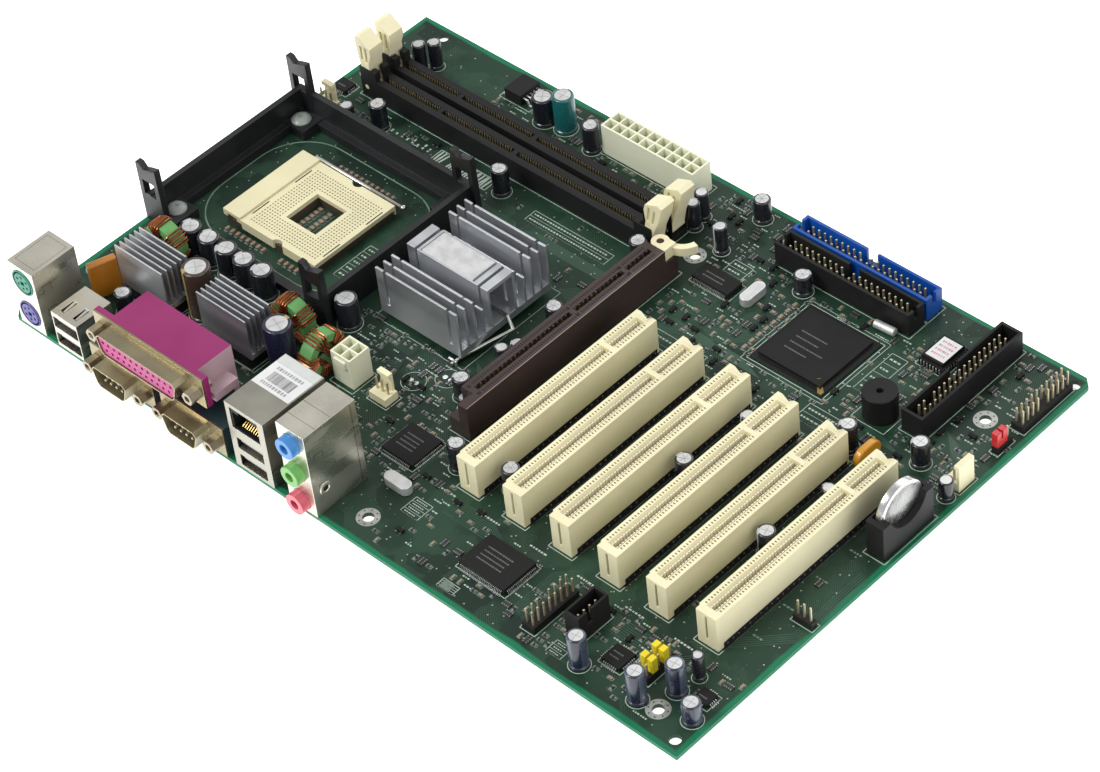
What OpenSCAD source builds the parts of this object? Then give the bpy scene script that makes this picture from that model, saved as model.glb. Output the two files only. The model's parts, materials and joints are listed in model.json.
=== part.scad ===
// Full-size desktop computer motherboard, built as separate pieces on a bare circuit board.
// Board coordinates: x runs along the rear edge with the sockets, y runs to the front edge,
// and z = 0 is the component face. The whole part is then moved so that its origin is the
// centre of the four-hole mounting rectangle on the underside of the board.

/* [Circuit board] */
// Board length along the rear edge
board_w = 304.8; // [304.8:0.1:306]
// Board depth from rear edge to front edge
board_d = 200; // [199.5:0.1:203]
// Board thickness
board_t = 1.6; // [1.2:0.1:2.4]
// Size of the two cut corners
corner_cut = 3; // [0.5:0.5:4]
// Mounting hole diameter
hole_d = 3.96; // [3.2:0.02:4.2]
// Spacing of the mounting rectangle along x
mount_span_x = 124.46; // [124.46:0.01:125]
// Spacing of the mounting rectangle along y
mount_span_y = 154.94; // [154:0.01:155]
// Spacing of the two holes along the left edge
edge_span_y = 132.08; // [132:0.01:133]

/* [Rear sockets] */
// Thickness of the sheet metal shells
sheet = 0.4; // [0.3:0.05:0.5]
// Height of the stacked keyboard and mouse sockets
ps2_h = 27.7; // [27.2:0.1:29]
// Height of the stacked USB sockets
usb_h = 15.5; // [15.3:0.1:16.5]
// Height of the network and USB stack
lan_h = 28.9; // [28.7:0.1:30]
// Height of the three-jack audio stack
audio_h = 35.5; // [35:0.1:37]
// How far the D-shaped shells stand out of the rear face
dsub_reach = 6; // [5:0.1:6.5]
// Centre spacing of the audio jacks
jack_pitch = 12.5; // [12:0.1:12.6]

/* [Processor area] */
// Width of the socket cover
socket_w = 46; // [45:0.1:46.5]
// Depth of the socket cover
socket_d = 38.5; // [38:0.1:39]
// Travel of the socket cover when the lever is lifted
cover_travel = 0.9; // [0.5:0.1:1]
// Height of the cooler frame's side walls
frame_wall_h = 13; // [11:0.5:15]
// Height of the cooler frame's corner towers
tower_h = 26; // [24:0.5:28]
// Post spacing of the cooler frame along x
post_span_x = 75; // [75:0.1:75.4]
// Post spacing of the cooler frame along y
post_span_y = 60; // [59.8:0.1:60]

/* [Slots] */
// Number of expansion slots
slot_count = 6; // [1:1:6]
// Pitch of the expansion slots
slot_pitch = 20.32; // [20:0.01:20.4]
// Height of the expansion slots
slot_h = 14.3; // [12:0.1:15]
// Width of the expansion slots
slot_w = 8.7; // [8:0.1:9]
// Length of the memory sockets
dimm_w = 140.9; // [139:0.1:141]
// Pitch of the memory sockets
dimm_pitch = 10; // [9.5:0.1:11]
// Lean of the open memory latches
latch_lean = 13; // [5:1:16]

/* [Power parts] */
// Height of the switching regulator heatsinks
vrm_top = 22; // [18:0.5:24]
// Height of the chipset heatsink
heatsink_top = 22; // [18:0.5:24]
// Outer radius of the ring chokes
choke_r = 7.9; // [7:0.1:8]
// Contact pitch of the power sockets
power_pitch = 4.2; // [4.15:0.01:4.25]

/* [Headers] */
// Contact pitch of the pin headers
pin_pitch = 2.54; // [2.5:0.01:2.54]
// Side of a square header pin
pin_side = 0.64; // [0.5:0.01:0.7]
// Height of the drive header shells
header_h = 9.3; // [9:0.1:10]

/* [Battery] */
// Coin cell diameter
coin_d = 20; // [19.6:0.1:20]
// Coin cell thickness
coin_t = 3.2; // [2.6:0.1:3.2]

/* [Hidden] */
$fn = 48;
eps = 0.01;
front = -0.2;
// Centre of the mounting rectangle and of the edge hole pair, in board coordinates.
mount_c = [226.06, 87.63];
edge_c = [6.35, 99.06];
hole_r = hole_d / 2;
mount_holes = [for (sx = [-1, 1], sy = [-1, 1])
    [mount_c[0] + sx * mount_span_x / 2, mount_c[1] + sy * mount_span_y / 2]];
edge_holes = [for (sy = [-1, 1]) [edge_c[0], edge_c[1] + sy * edge_span_y / 2]];
tooling_holes = [[300, 4.75], [300.8, 194.9], [13.8, 195]];
post_c = [46.7, 98.4];
posts = [for (sx = [-1, 1], sy = [-1, 1])
    [post_c[0] + sx * post_span_x / 2, post_c[1] + sy * post_span_y / 2]];
post_r = 2.2;
socket_x = 23.5;
socket_y = 77.5;
cam_x = socket_x + 4.3;
cam_z = 3.2;
chip_c = [119.9, 99.8];
dimm_x = 12.6;
dimm_y = 159.1;
dimm_hw = 3.75;
dimm_rows = [dimm_y, dimm_y + dimm_pitch];
latch_pivot = [2.7, 4.2];
agp_x = 161.1;
slot_x = 181.4;
slot_y0 = 38.2;
slot_y1 = 123.3;
slot_xs = [for (i = [0:slot_count - 1]) slot_x + i * slot_pitch];
choke_z = choke_r + 0.9;
serial_xs = [58.9, 93.5];
parallel_c = [76.8, 24.9];
serial_z = 6.3;
jack_x = 145;
jack_z0 = 4.5;
coin_c = [298.4, 110, 12.4];
ivory = [0.86, 0.83, 0.68];
cream = [0.90, 0.88, 0.72];
dark = [0.07, 0.07, 0.08];
nickel = [0.78, 0.77, 0.72];
gold = [0.85, 0.68, 0.32];

// ---------------------------------------------------------------- helpers

// Moves board coordinates to the part's own frame.
module placed() {
    translate([-mount_c[0], -mount_c[1], board_t]) children();
}

// Box between two corners.
module block(a, b) {
    translate(a) cube(b - a);
}

module rod_z(p, r, h) {
    translate(p) cylinder(h = h, r = r);
}

module rod_y(p, r, h) {
    translate([p[0], p[1] + h, p[2]]) rotate([90, 0, 0]) cylinder(h = h, r = r);
}

module rod_x(p, r, h) {
    translate(p) rotate([0, 90, 0]) cylinder(h = h, r = r);
}

// Profile in x and z, running along y from y0 to y1.
module run_y(profile, y0, y1) {
    translate([0, y1, 0]) rotate([90, 0, 0]) linear_extrude(height = y1 - y0) polygon(profile);
}

// Round bar between two points.
module bar(p, q, r) {
    d = q - p;
    len = norm(d);
    translate(p) rotate([0, acos(d[2] / len), atan2(d[1], d[0])]) cylinder(h = len, r = r);
}

// Bent wire through a list of points.
module wire(points, r) {
    for (i = [0:len(points) - 2]) bar(points[i], points[i + 1], r);
    for (i = [1:len(points) - 2]) translate(points[i]) sphere(r = r + 0.06);
}

// Grid of square pins, as separate solids; skip lists the grid places left empty.
module pins(x0, y0, nx, ny, top, skip = [], side = pin_side, pitch = pin_pitch, z0 = 0) {
    for (i = [0:nx - 1], j = [0:ny - 1])
        if (len([for (s = skip) if (s == [i, j]) s]) == 0)
            translate([x0 + i * pitch - side / 2, y0 + j * pitch - side / 2, z0])
                cube([side, side, top - z0]);
}

// ---------------------------------------------------------------- circuit board

module circuit_board() {
    outline = [[corner_cut, 0], [board_w, 0], [board_w, board_d - corner_cut],
        [board_w - corner_cut, board_d], [0, board_d], [0, corner_cut]];
    color([0.10, 0.30, 0.22]) placed() difference() {
        translate([0, 0, -board_t]) linear_extrude(height = board_t) polygon(outline);
        for (p = concat(mount_holes, edge_holes))
            rod_z([p[0], p[1], -board_t - 1], hole_r, board_t + 2);
        for (p = tooling_holes) rod_z([p[0], p[1], -board_t - 1], 2, board_t + 2);
        for (p = posts) rod_z([p[0], p[1], -board_t - 1], post_r, board_t + 2);
    }
}

// ---------------------------------------------------------------- rear sockets

ps2_x = [5.4, 18.4];
ps2_back = 18.6;
ps2_zs = [6.9, 20.9];
din_r = 5.1;

module ps2_shell() {
    mid = (ps2_x[0] + ps2_x[1]) / 2;
    color(nickel) placed() difference() {
        block([ps2_x[0], front, 0], [ps2_x[1], ps2_back, ps2_h]);
        block([ps2_x[0] + sheet, front + sheet, -1],
            [ps2_x[1] - sheet, ps2_back - sheet, ps2_h - sheet]);
        for (z = ps2_zs) rod_y([mid, front - 1, z], din_r + 0.05, 3);
    }
}

// Round six-contact socket body: ring groove for the plug shield, pin holes and a key.
module din_socket(z, z0, z1) {
    mid = (ps2_x[0] + ps2_x[1]) / 2;
    placed() difference() {
        union() {
            block([ps2_x[0] + sheet, front + sheet, z0], [ps2_x[1] - sheet, ps2_back - sheet, z1]);
            rod_y([mid, front - 0.3, z], din_r, 2);
        }
        difference() {
            rod_y([mid, front - 1, z], 4.6, 8);
            rod_y([mid, front - 1.5, z], 4, 9);
        }
        for (a = [-60, 0, 60, 120, 180, 240])
            rod_y([mid + 2.5 * cos(a + 30), front - 1, z + 2.5 * sin(a + 30)], 0.5, 8);
        block([mid - 0.9, front - 1, z - 1], [mid + 0.9, 6, z + 0.6]);
    }
}

module keyboard_socket() {
    color([0.44, 0.36, 0.62]) din_socket(ps2_zs[0], 0, ps2_h / 2);
}

module mouse_socket() {
    color([0.35, 0.66, 0.58]) din_socket(ps2_zs[1], ps2_h / 2, ps2_h - sheet);
}

usb_x = [24.6, 37.6];
usb_back = 15.4;
usb_zs = [1.4, 8.7];
usb_open = 5;

module usb_shell() {
    color(nickel) placed() difference() {
        block([usb_x[0], front, 0], [usb_x[1], usb_back, usb_h]);
        block([usb_x[0] + sheet, front + sheet, -1],
            [usb_x[1] - sheet, usb_back - sheet, usb_h - sheet]);
        for (z = usb_zs)
            block([usb_x[0] + sheet, front - 1, z], [usb_x[1] - sheet, front + 1, z + usb_open]);
        for (x = [usb_x[0] + 2.4, usb_x[1] - 4.4])
            block([x, 2.2, usb_h - 1], [x + 2, 8, usb_h + 1]);
    }
}

module usb_inserts() {
    gap = usb_zs[1] - usb_zs[0] - usb_open;
    color([0.12, 0.12, 0.13]) placed() union() {
        block([usb_x[0] + sheet, front + sheet, 0], [usb_x[1] - sheet, 10.5, 1]);
        block([usb_x[0] + sheet, 10.4, 0], [usb_x[1] - sheet, usb_back - sheet, usb_h - sheet]);
        block([usb_x[0] + sheet, front + sheet, usb_zs[0] + usb_open],
            [usb_x[1] - sheet, 10.5, usb_zs[0] + usb_open + gap]);
        for (z = usb_zs)
            block([usb_x[0] + 1, 1.2, z + 2.3], [usb_x[1] - 1, 10.5, z + 4.1]);
    }
}

// Outline of a D-shaped shell, wide side up, drawn in by g on every side.
function d_shape(cx, cz, w, h, g) = let (t = w / 2 - g, b = w / 2 - h * tan(10) - g,
    v = h / 2 - g, c = 1.4 - g / 2)
    [[cx - t, cz + v - c], [cx - t + c, cz + v], [cx + t - c, cz + v], [cx + t, cz + v - c],
    [cx + b, cz - v + c], [cx + b - c, cz - v], [cx - b + c, cz - v], [cx - b, cz - v + c]];

d25_w = 38.9;
d9_w = 16.9;
d_h = 8.4;
d25_flange = [53, 12.5];
d9_flange = [30.8, 12.6];
d25_screw = 23.5;
d9_screw = 12.5;
screw_r = 1.5;
flange_back = 0.6;

module d_shell(cx, cz, w, flange, screw) {
    difference() {
        union() {
            block([cx - flange[0] / 2, front, cz - flange[1] / 2],
                [cx + flange[0] / 2, flange_back, cz + flange[1] / 2]);
            run_y(d_shape(cx, cz, w, d_h, 0), -dsub_reach, 0);
        }
        run_y(d_shape(cx, cz, w, d_h, sheet), -dsub_reach - 1, 1);
        for (s = [-1, 1]) rod_y([cx + s * screw, front - 1, cz], screw_r + 0.05, 3);
    }
}

module parallel_shell() {
    color(nickel) placed()
        d_shell(parallel_c[0], parallel_c[1], d25_w, d25_flange, d25_screw);
}

module serial_shells() {
    color(nickel) placed() for (x = serial_xs) d_shell(x, serial_z, d9_w, d9_flange, d9_screw);
}

module parallel_housing() {
    cx = parallel_c[0];
    cz = parallel_c[1];
    low = cz - d25_flange[1] / 2;
    top = cz + d25_flange[1] / 2;
    gap = [serial_xs[0] + d9_flange[0] / 2 + 0.2, serial_xs[1] - d9_flange[0] / 2 - 0.2];
    color([0.78, 0.42, 0.60]) placed() difference() {
        union() {
            block([cx - 26.5, flange_back, low], [cx + 26.5, 2.7, top]);
            block([57.7, 2.6, low], [98.4, 17.4, top - 0.1]);
            block([98.3, 4, low], [103.3, 14, low + 3.2]);
            block([50.3, 4, low], [57.8, 14, low + 3.2]);
            block([57.7, 15.2, 0], [98.4, 17.4, low + 1]);
            block([gap[0], 2.7, 0], [gap[1], 15.3, low + 1]);
            run_y(d_shape(cx, cz, d25_w, d_h, sheet + 0.35), -5.5, 1);
        }
        for (s = [-1, 1]) rod_y([cx + s * d25_screw, 0, cz], screw_r + 0.05, 6);
        for (i = [0:12]) rod_y([cx + (i - 6) * 2.76, -6, cz + 1.42], 0.6, 5);
        for (i = [0:11]) rod_y([cx + (i - 5.5) * 2.76, -6, cz - 1.42], 0.6, 5);
    }
}

module serial_housings() {
    color([0.10, 0.17, 0.19]) placed() for (x = serial_xs) difference() {
        union() {
            block([x - 15.2, flange_back, 0], [x + 15.2, 15, 12]);
            run_y(d_shape(x, serial_z, d9_w, d_h, sheet + 0.05), -0.6, 1);
        }
        for (s = [-1, 1]) rod_y([x + s * d9_screw, 0, serial_z], screw_r + 0.05, 6);
        d9_pins(x, 0.3);
    }
}

// Nine round contacts of one serial socket.
module d9_pins(x, back) {
    for (i = [0:4]) rod_y([x + (i - 2) * 2.76, -4.6, serial_z + 1.42], 0.5, 4.6 + back);
    for (i = [0:3]) rod_y([x + (i - 1.5) * 2.76, -4.6, serial_z - 1.42], 0.5, 4.6 + back);
}

// Hexagonal standoff with a threaded shank, pointing out of the rear face.
module jackscrew(x, z) {
    difference() {
        union() {
            translate([x, front, z]) rotate([90, 0, 0]) cylinder(h = 4.8, r = 2.6, $fn = 6);
            rod_y([x, front - 1, z], screw_r, 6);
        }
        rod_y([x, front - 6, z], 1.2, 4.5);
    }
}

module dsub_jackscrews() {
    color([0.72, 0.70, 0.66]) placed() {
        for (s = [-1, 1]) jackscrew(parallel_c[0] + s * d25_screw, parallel_c[1]);
        for (x = serial_xs, s = [-1, 1]) jackscrew(x + s * d9_screw, serial_z);
    }
}

lan_x = [113.3, 131.4];
lan_back = 27.2;
lan_usb_x = [116.1, 128.6];
lan_usb_zs = [1.4, 9.1];
rj_x = [116, 127.8];
rj_z = [18.4, 25.2];
rj_depth = 14;

module lan_usb_shell() {
    color(nickel) placed() difference() {
        block([lan_x[0], front, 0], [lan_x[1], lan_back, lan_h]);
        block([lan_x[0] + sheet, front + sheet, -1],
            [lan_x[1] - sheet, lan_back - sheet, lan_h - sheet]);
        block([rj_x[0] - 0.6, front - 1, rj_z[0] - 0.3], [rj_x[1] + 0.6, front + 1, 27.2]);
        for (z = lan_usb_zs)
            block([lan_usb_x[0], front - 1, z], [lan_usb_x[1], front + 1, z + usb_open]);
    }
}

module lan_usb_insert() {
    color([0.14, 0.14, 0.15]) placed() difference() {
        block([lan_x[0] + sheet, front + sheet, 0],
            [lan_x[1] - sheet, lan_back - sheet, lan_h - sheet]);
        block([rj_x[0], front, rj_z[0]], [rj_x[1], rj_depth, rj_z[1]]);
        block([119, front, rj_z[1] - 1], [124.8, 8, 27]);
        for (z = lan_usb_zs) difference() {
            block([lan_usb_x[0], front, z], [lan_usb_x[1], 10, z + usb_open]);
            block([lan_usb_x[0] + 0.7, 1.2, z + 2.3], [lan_usb_x[1] - 0.7, 11, z + 4.1]);
        }
    }
}

audio_x = [138.7, 151.4];
audio_back = 22.4;
jack_r = 3.9;

module audio_shell() {
    color(nickel) placed() difference() {
        block([audio_x[0], front, 0], [audio_x[1], audio_back, audio_h]);
        block([audio_x[0] + sheet, front + sheet, -1],
            [audio_x[1] - sheet, audio_back - sheet, audio_h - sheet]);
        for (i = [0:2]) rod_y([jack_x, front - 1, jack_z0 + i * jack_pitch], jack_r + 0.05, 3);
    }
}

// One 3.5 mm jack: body inside the shell and the coloured sleeve in front.
module jack(i) {
    z = jack_z0 + i * jack_pitch;
    top = min(audio_h - sheet, z + jack_pitch / 2);
    placed() difference() {
        union() {
            block([audio_x[0] + sheet, front + sheet, max(0, z - jack_pitch / 2)],
                [audio_x[1] - sheet, audio_back - sheet, top]);
            rod_y([jack_x, -3.6, z], jack_r, 5);
        }
        rod_y([jack_x, -4, z], 1.8, 18);
    }
}

module microphone_jack() {
    color([0.88, 0.52, 0.66]) jack(0);
}

module line_out_jack() {
    color([0.45, 0.76, 0.42]) jack(1);
}

module line_in_jack() {
    color([0.30, 0.50, 0.80]) jack(2);
}

// ---------------------------------------------------------------- power sockets

main_power_x0 = 105.8;
main_power_y0 = 187.1;
main_power_n = 10;
main_power_h = 12.8;
cpu_power_x0 = 112.6;
cpu_power_y0 = 49.6;
cpu_power_h = 13;
cavity = 3.5;
cavity_floor = 2;

// Shrouded two-row power socket with n columns; wall is the shell round the cavities.
module power_socket(x0, y0, n, h, catch_side) {
    wall = cavity / 2 + 0.75;
    w = (n - 1) * power_pitch;
    mid = x0 + w / 2;
    catch_y = catch_side < 0 ? y0 - wall - 0.8 : y0 + power_pitch + wall - eps;
    difference() {
        union() {
            block([x0 - wall, y0 - wall, 0], [x0 + w + wall, y0 + power_pitch + wall, h]);
            block([mid - 2.6, catch_y, h - 4.5], [mid + 2.6, catch_y + 0.8 + eps, h - 1.5]);
        }
        for (i = [0:n - 1], j = [0:1])
            translate([x0 + i * power_pitch - cavity / 2, y0 + j * power_pitch - cavity / 2,
                cavity_floor]) cube([cavity, cavity, h]);
    }
}

module main_power_socket() {
    color([0.87, 0.87, 0.82]) placed()
        power_socket(main_power_x0, main_power_y0, main_power_n, main_power_h, 1);
}

module cpu_power_socket() {
    color([0.87, 0.87, 0.82]) placed()
        power_socket(cpu_power_x0, cpu_power_y0, 2, cpu_power_h, -1);
}

// ---------------------------------------------------------------- processor area

base_inset = 0.7;
base_top = 3.2;
cover_low = base_top + 0.05;
cover_top = 5;
ridge_top = 5.9;
lever_r = 0.9;
lever_y = socket_y + socket_d + 2.3;
lever_tip_x = 71;
cam_pocket = lever_r + cover_travel + 0.6;

module cpu_socket_base() {
    x1 = socket_x + socket_w;
    y1 = socket_y + socket_d;
    color([0.28, 0.18, 0.12]) placed() difference() {
        union() {
            block([socket_x + base_inset, socket_y + base_inset, 0],
                [x1 - base_inset, y1 - base_inset, base_top]);
            block([socket_x + base_inset, y1 - 1, 0], [socket_x + 7.4, y1 + 2.3, 1.8]);
        }
        block([43.6, 88.6, -1], [58.3, 103.7, base_top + 1]);
        rod_y([cam_x, socket_y, cam_z], lever_r + 0.08, socket_d);
    }
}

module cpu_socket_cover() {
    x1 = socket_x + socket_w;
    y1 = socket_y + socket_d;
    color(ivory) placed() difference() {
        union() {
            block([socket_x, socket_y, cover_low], [x1, y1, cover_top]);
            block([socket_x, socket_y, cover_low], [socket_x + 8.5, y1, ridge_top]);
            block([socket_x + 9, socket_y, 1.2], [x1, socket_y + 0.6, cover_top]);
            block([socket_x + 9, y1 - 0.6, 1.2], [x1, y1, cover_top]);
        }
        block([43.6, 88.6, 0], [58.3, 103.7, cover_top + 1]);
        block([cam_x - cam_pocket, socket_y - 1, 0], [cam_x + cam_pocket, y1 + 1, cam_z + 1.3]);
        for (y = [socket_y - 1, y1 + 1]) rod_z([50.9, y, 0], 2.6, cover_top + 1);
    }
}

module cpu_socket_lever() {
    color([0.80, 0.80, 0.80]) placed() {
        wire([[cam_x, socket_y + 1, cam_z], [cam_x, lever_y, cam_z],
            [lever_tip_x, lever_y, cam_z]], lever_r);
        translate([lever_tip_x, lever_y, cam_z]) sphere(r = lever_r + 0.3);
    }
}

frame_x = [3.2, 90.2];
frame_y = [61.5, 135.5];
frame_wall = 2.2;
frame_pad = 4;
rail_h = 3.5;
tower_w = 10.5;
tower_t = 2.5;

// Hooked corner tower with a window, drawn from its low x corner.
module tower(x, y) {
    profile = [[x, 0], [x, tower_h], [x + 2, tower_h], [x + 3.6, tower_h - 2],
        [x + 7.2, tower_h - 0.8], [x + 9.9, tower_h], [x + tower_w, 0]];
    difference() {
        run_y(profile, y, y + tower_t);
        block([x + 2, y - 1, 12.5], [x + 8, y + tower_t + 1, 19]);
    }
}

module cooler_frame() {
    x0 = frame_x[0];
    x1 = frame_x[1];
    y0 = frame_y[0];
    y1 = frame_y[1];
    w = frame_wall;
    pad = 11.8;
    color(dark) placed() difference() {
        union() {
            block([x0, y0, 0], [x0 + w, y1, frame_wall_h]);
            block([x1 - w, y0, 0], [x1, y1, frame_wall_h]);
            block([x0, y1 - w, 0], [x1, y1, frame_wall_h]);
            block([x0, y0, 0], [x0 + w + 2.6, y1, rail_h]);
            block([x1 - w - 2.6, y0, 0], [x1, y1, rail_h]);
            block([x0, y1 - w - 2.6, 0], [x1, y1, rail_h]);
            block([x0, y0 + 3.2, 0], [x1, y0 + 6.7, rail_h]);
            for (x = [x0, x1 - pad], y = [y0, y1 - pad])
                block([x, y, 0], [x + pad, y + pad, frame_pad]);
            for (x = [0.5, 82], y = [y0, y1 - tower_t]) tower(x, y);
        }
        for (p = posts) rod_z([p[0], p[1], -1], post_r, frame_pad + 2);
    }
}

module cooler_rivets() {
    color([0.55, 0.57, 0.55]) placed() for (p = posts) {
        rod_z([p[0], p[1], -board_t], post_r - 0.05, frame_pad + board_t + 0.5);
        rod_z([p[0], p[1], frame_pad], 3.7, 1);
        rod_z([p[0], p[1], frame_pad + 0.9], 3.1, 0.7);
    }
}

// ---------------------------------------------------------------- chipset

chip_half = 16.5;
cap_half = 14;
chip_top = 2.6;
sink_x = [101, 138.7];
sink_y = [78.3, 121.4];
sink_base = 5.5;
fin_t = 0.9;
plate_y = [93.2, 105.4];

module northbridge_chip() {
    color([0.12, 0.15, 0.13]) placed() union() {
        block([chip_c[0] - chip_half, chip_c[1] - chip_half, 0],
            [chip_c[0] + chip_half, chip_c[1] + chip_half, 0.9]);
        block([chip_c[0] - cap_half, chip_c[1] - cap_half, 0.8],
            [chip_c[0] + cap_half, chip_c[1] + cap_half, chip_top]);
    }
}

module northbridge_heatsink() {
    tall = [sink_y[0], 82, 85.8, 113, 116.8, sink_y[1] - fin_t];
    low = [89.6, 109.2];
    color([0.78, 0.79, 0.78]) placed() difference() {
        union() {
            block([sink_x[0], sink_y[0], chip_top], [sink_x[1], sink_y[1], sink_base]);
            for (y = tall)
                block([sink_x[0], y, sink_base - 1], [sink_x[1], y + fin_t, heatsink_top]);
            for (y = low)
                block([sink_x[0], y, sink_base - 1], [sink_x[1], y + fin_t, heatsink_top - 6]);
            for (y = [plate_y[0], plate_y[1] - fin_t])
                block([sink_x[0], y, sink_base - 1], [sink_x[1], y + fin_t, heatsink_top - 1]);
            block([sink_x[0], plate_y[0], heatsink_top - 1.6],
                [sink_x[1], plate_y[1], heatsink_top]);
        }
        for (x = [104.6, 134.1])
            block([x, sink_y[0] - 1, sink_base + 1.5], [x + 1.2, sink_y[1] + 1, heatsink_top + 1]);
    }
}

clip_r = 0.65;

module heatsink_clip() {
    // Half of the wire; the other half is the same turned by 180 degrees about the chip.
    half = [[143, 98.5, 3.2], [136.9, 79.5, 1.2], [136.4, 75.4, 0.8]];
    mid = [139.6, chip_c[1], sink_base + clip_r + 0.15];
    turned = [for (p = concat([mid], half)) [2 * chip_c[0] - p[0], 2 * chip_c[1] - p[1], p[2]]];
    far = [for (i = [len(turned) - 1:-1:0]) turned[i]];
    color([0.82, 0.82, 0.80]) placed() wire(concat(far, [mid], half), clip_r);
}

module clip_anchors() {
    color([0.75, 0.75, 0.72]) placed() for (turn = [0, 180])
        translate([chip_c[0], chip_c[1], 0]) rotate([0, 0, turn])
            wire([[15, -23.4, 0], [15, -23.4, 2], [18, -23.4, 2], [18, -23.4, 0]], 0.5);
}

sb_x = [210.5, 241];
sb_y = [140, 170.5];

module southbridge_chip() {
    color([0.10, 0.12, 0.11]) placed() union() {
        block([sb_x[0], sb_y[0], 0], [sb_x[1], sb_y[1], 0.8]);
        block([sb_x[0] + 2, sb_y[0] + 2, 0.7], [sb_x[1] - 2, sb_y[1] - 2, 2.2]);
    }
}

module bios_chip() {
    color([0.10, 0.10, 0.11]) placed() union() {
        block([255.2, 171.9, 0], [265.4, 185, 2.4]);
        block([256, 172.7, 2.3], [264.6, 184.2, 4]);
    }
}

// Corner, corner and height of each flat chip with leads.
flat_chips = [[145.8, 33.8, 160, 48, 1.8], [201, 13.6, 221, 28.2, 2.8], [262, 13.4, 269.6, 21, 1.7],
    [294, 19.4, 299.4, 24.6, 1.8], [171, 155.6, 187, 163.2, 2.4], [2, 150.4, 8.4, 156, 1.8]];

module leaded_chips() {
    color([0.09, 0.09, 0.10]) placed() for (c = flat_chips)
        block([c[0], c[1], 0.1], [c[2], c[3], c[4]]);
}

// Flat metal-can crystal; turn is its angle about z.
module crystal_can(x, y, turn) {
    translate([x, y, 0]) rotate([0, 0, turn]) {
        block([-3.2, -2.3, 0], [3.2, 2.3, 3.5]);
        for (s = [-1, 1]) rod_z([s * 3.2, 0, 0], 2.3, 3.5);
    }
}

module crystals() {
    color([0.80, 0.80, 0.78]) placed() {
        crystal_can(193, 161.5, 90);
        crystal_can(162, 25.7, 0);
        bar([233.4, 176.2, 1.6], [241.5, 176.8, 1.6], 1.5);
    }
}

module buzzer() {
    color(dark) placed() difference() {
        rod_z([260.5, 146.5, 0], 6, 10.5);
        rod_z([260.5, 146.5, 8.5], 1.1, 3);
    }
}

// ---------------------------------------------------------------- slots and latches

groove_w = 2.4;
leaf_t = 0.4;
key_y = 104.5;
// Start and end of each stretch of the card groove, either side of the key.
slot_grooves = [[slot_y0 + 3, key_y - 0.9], [key_y + 0.9, slot_y1 - 3]];

// Expansion slot centred on x, with its card groove, key, end slit and end notch.
module pci_slot(x) {
    w = slot_w / 2;
    g = groove_w / 2;
    lead = [[x - 2.1, slot_h + eps], [x - g, slot_h - 1.4], [x + g, slot_h - 1.4],
        [x + 2.1, slot_h + eps]];
    difference() {
        block([x - w, slot_y0, 0], [x + w, slot_y1, slot_h]);
        for (s = slot_grooves) {
            block([x - g, s[0], 3], [x + g, s[1], slot_h + 1]);
            run_y(lead, s[0], s[1]);
        }
        run_y([[x - 2.4, slot_h + eps], [x, slot_h - 1.8], [x + 2.4, slot_h + eps]],
            slot_y1 - 2.6, slot_y1 + 1);
        block([x - 0.45, slot_y0 - 1, 3], [x + 0.45, slot_y0 + 1, slot_h - 1.2]);
        block([x - w - 1, slot_y0 - 1, -1], [x - w + 0.5, slot_y0 + 2.2, slot_h + 1]);
        block([x - w + 0.7, slot_y0 + 6, -1], [x + w - 0.7, slot_y1 - 6, 0.8]);
    }
}

module pci_slots() {
    color(cream) placed() for (x = slot_xs) pci_slot(x);
}

agp_y = [55, 155.1];
agp_w = 8.8;
agp_h = 14;
agp_end_h = 8.6;
agp_step_y = 149.5;
agp_grooves = [[64, 108.4], [110.4, 133.7], [135.3, 147]];
agp_groove_w = 2;
agp_pin = [160.2, 153];

module agp_slot() {
    x = agp_x;
    w = agp_w / 2;
    g = agp_groove_w / 2;
    color([0.20, 0.12, 0.10]) placed() difference() {
        union() {
            block([x - w, agp_y[0], 0], [x + w, agp_step_y, agp_h]);
            block([x - w, agp_step_y - 1, 0], [x + w, agp_y[1], agp_end_h]);
            rod_z([agp_pin[0], agp_pin[1], 0], 1.3, 13.2);
        }
        block([x - w - 1, agp_y[0] - 1, 6], [x + 0.4, agp_y[0] + 6.5, agp_h + 1]);
        for (s = agp_grooves) block([x - g, s[0], 3], [x + g, s[1], agp_h + 1]);
        block([x - w + 0.7, agp_y[0] + 6, -1], [x + w - 0.7, agp_step_y - 6, 0.8]);
    }
}

// Retaining latch for the graphics card: a saddle turning on the pin and a curved finger arm.
module agp_latch() {
    p = agp_pin;
    low = agp_end_h + 0.05;
    color(cream) placed() difference() {
        union() {
            rod_z([p[0], p[1], low], 3.2, 4.8);
            block([p[0], p[1] - 3.2, low], [p[0] + 4.6, p[1] + 2.6, low + 4.8]);
            translate([p[0] + 2.4, p[1] + 9, low + 0.4]) rotate([0, 0, -95])
                rotate_extrude(angle = 80) translate([6.2, 0]) square([2.4, 3.4]);
        }
        rod_z([p[0], p[1], low - 1], 1.36, 7);
    }
}

dimm_body_h = 8.6;
dimm_end_h = 12.7;
dimm_end_w = 8;
latch_gap = 0.05;
latch_hw = 3.3;

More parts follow.
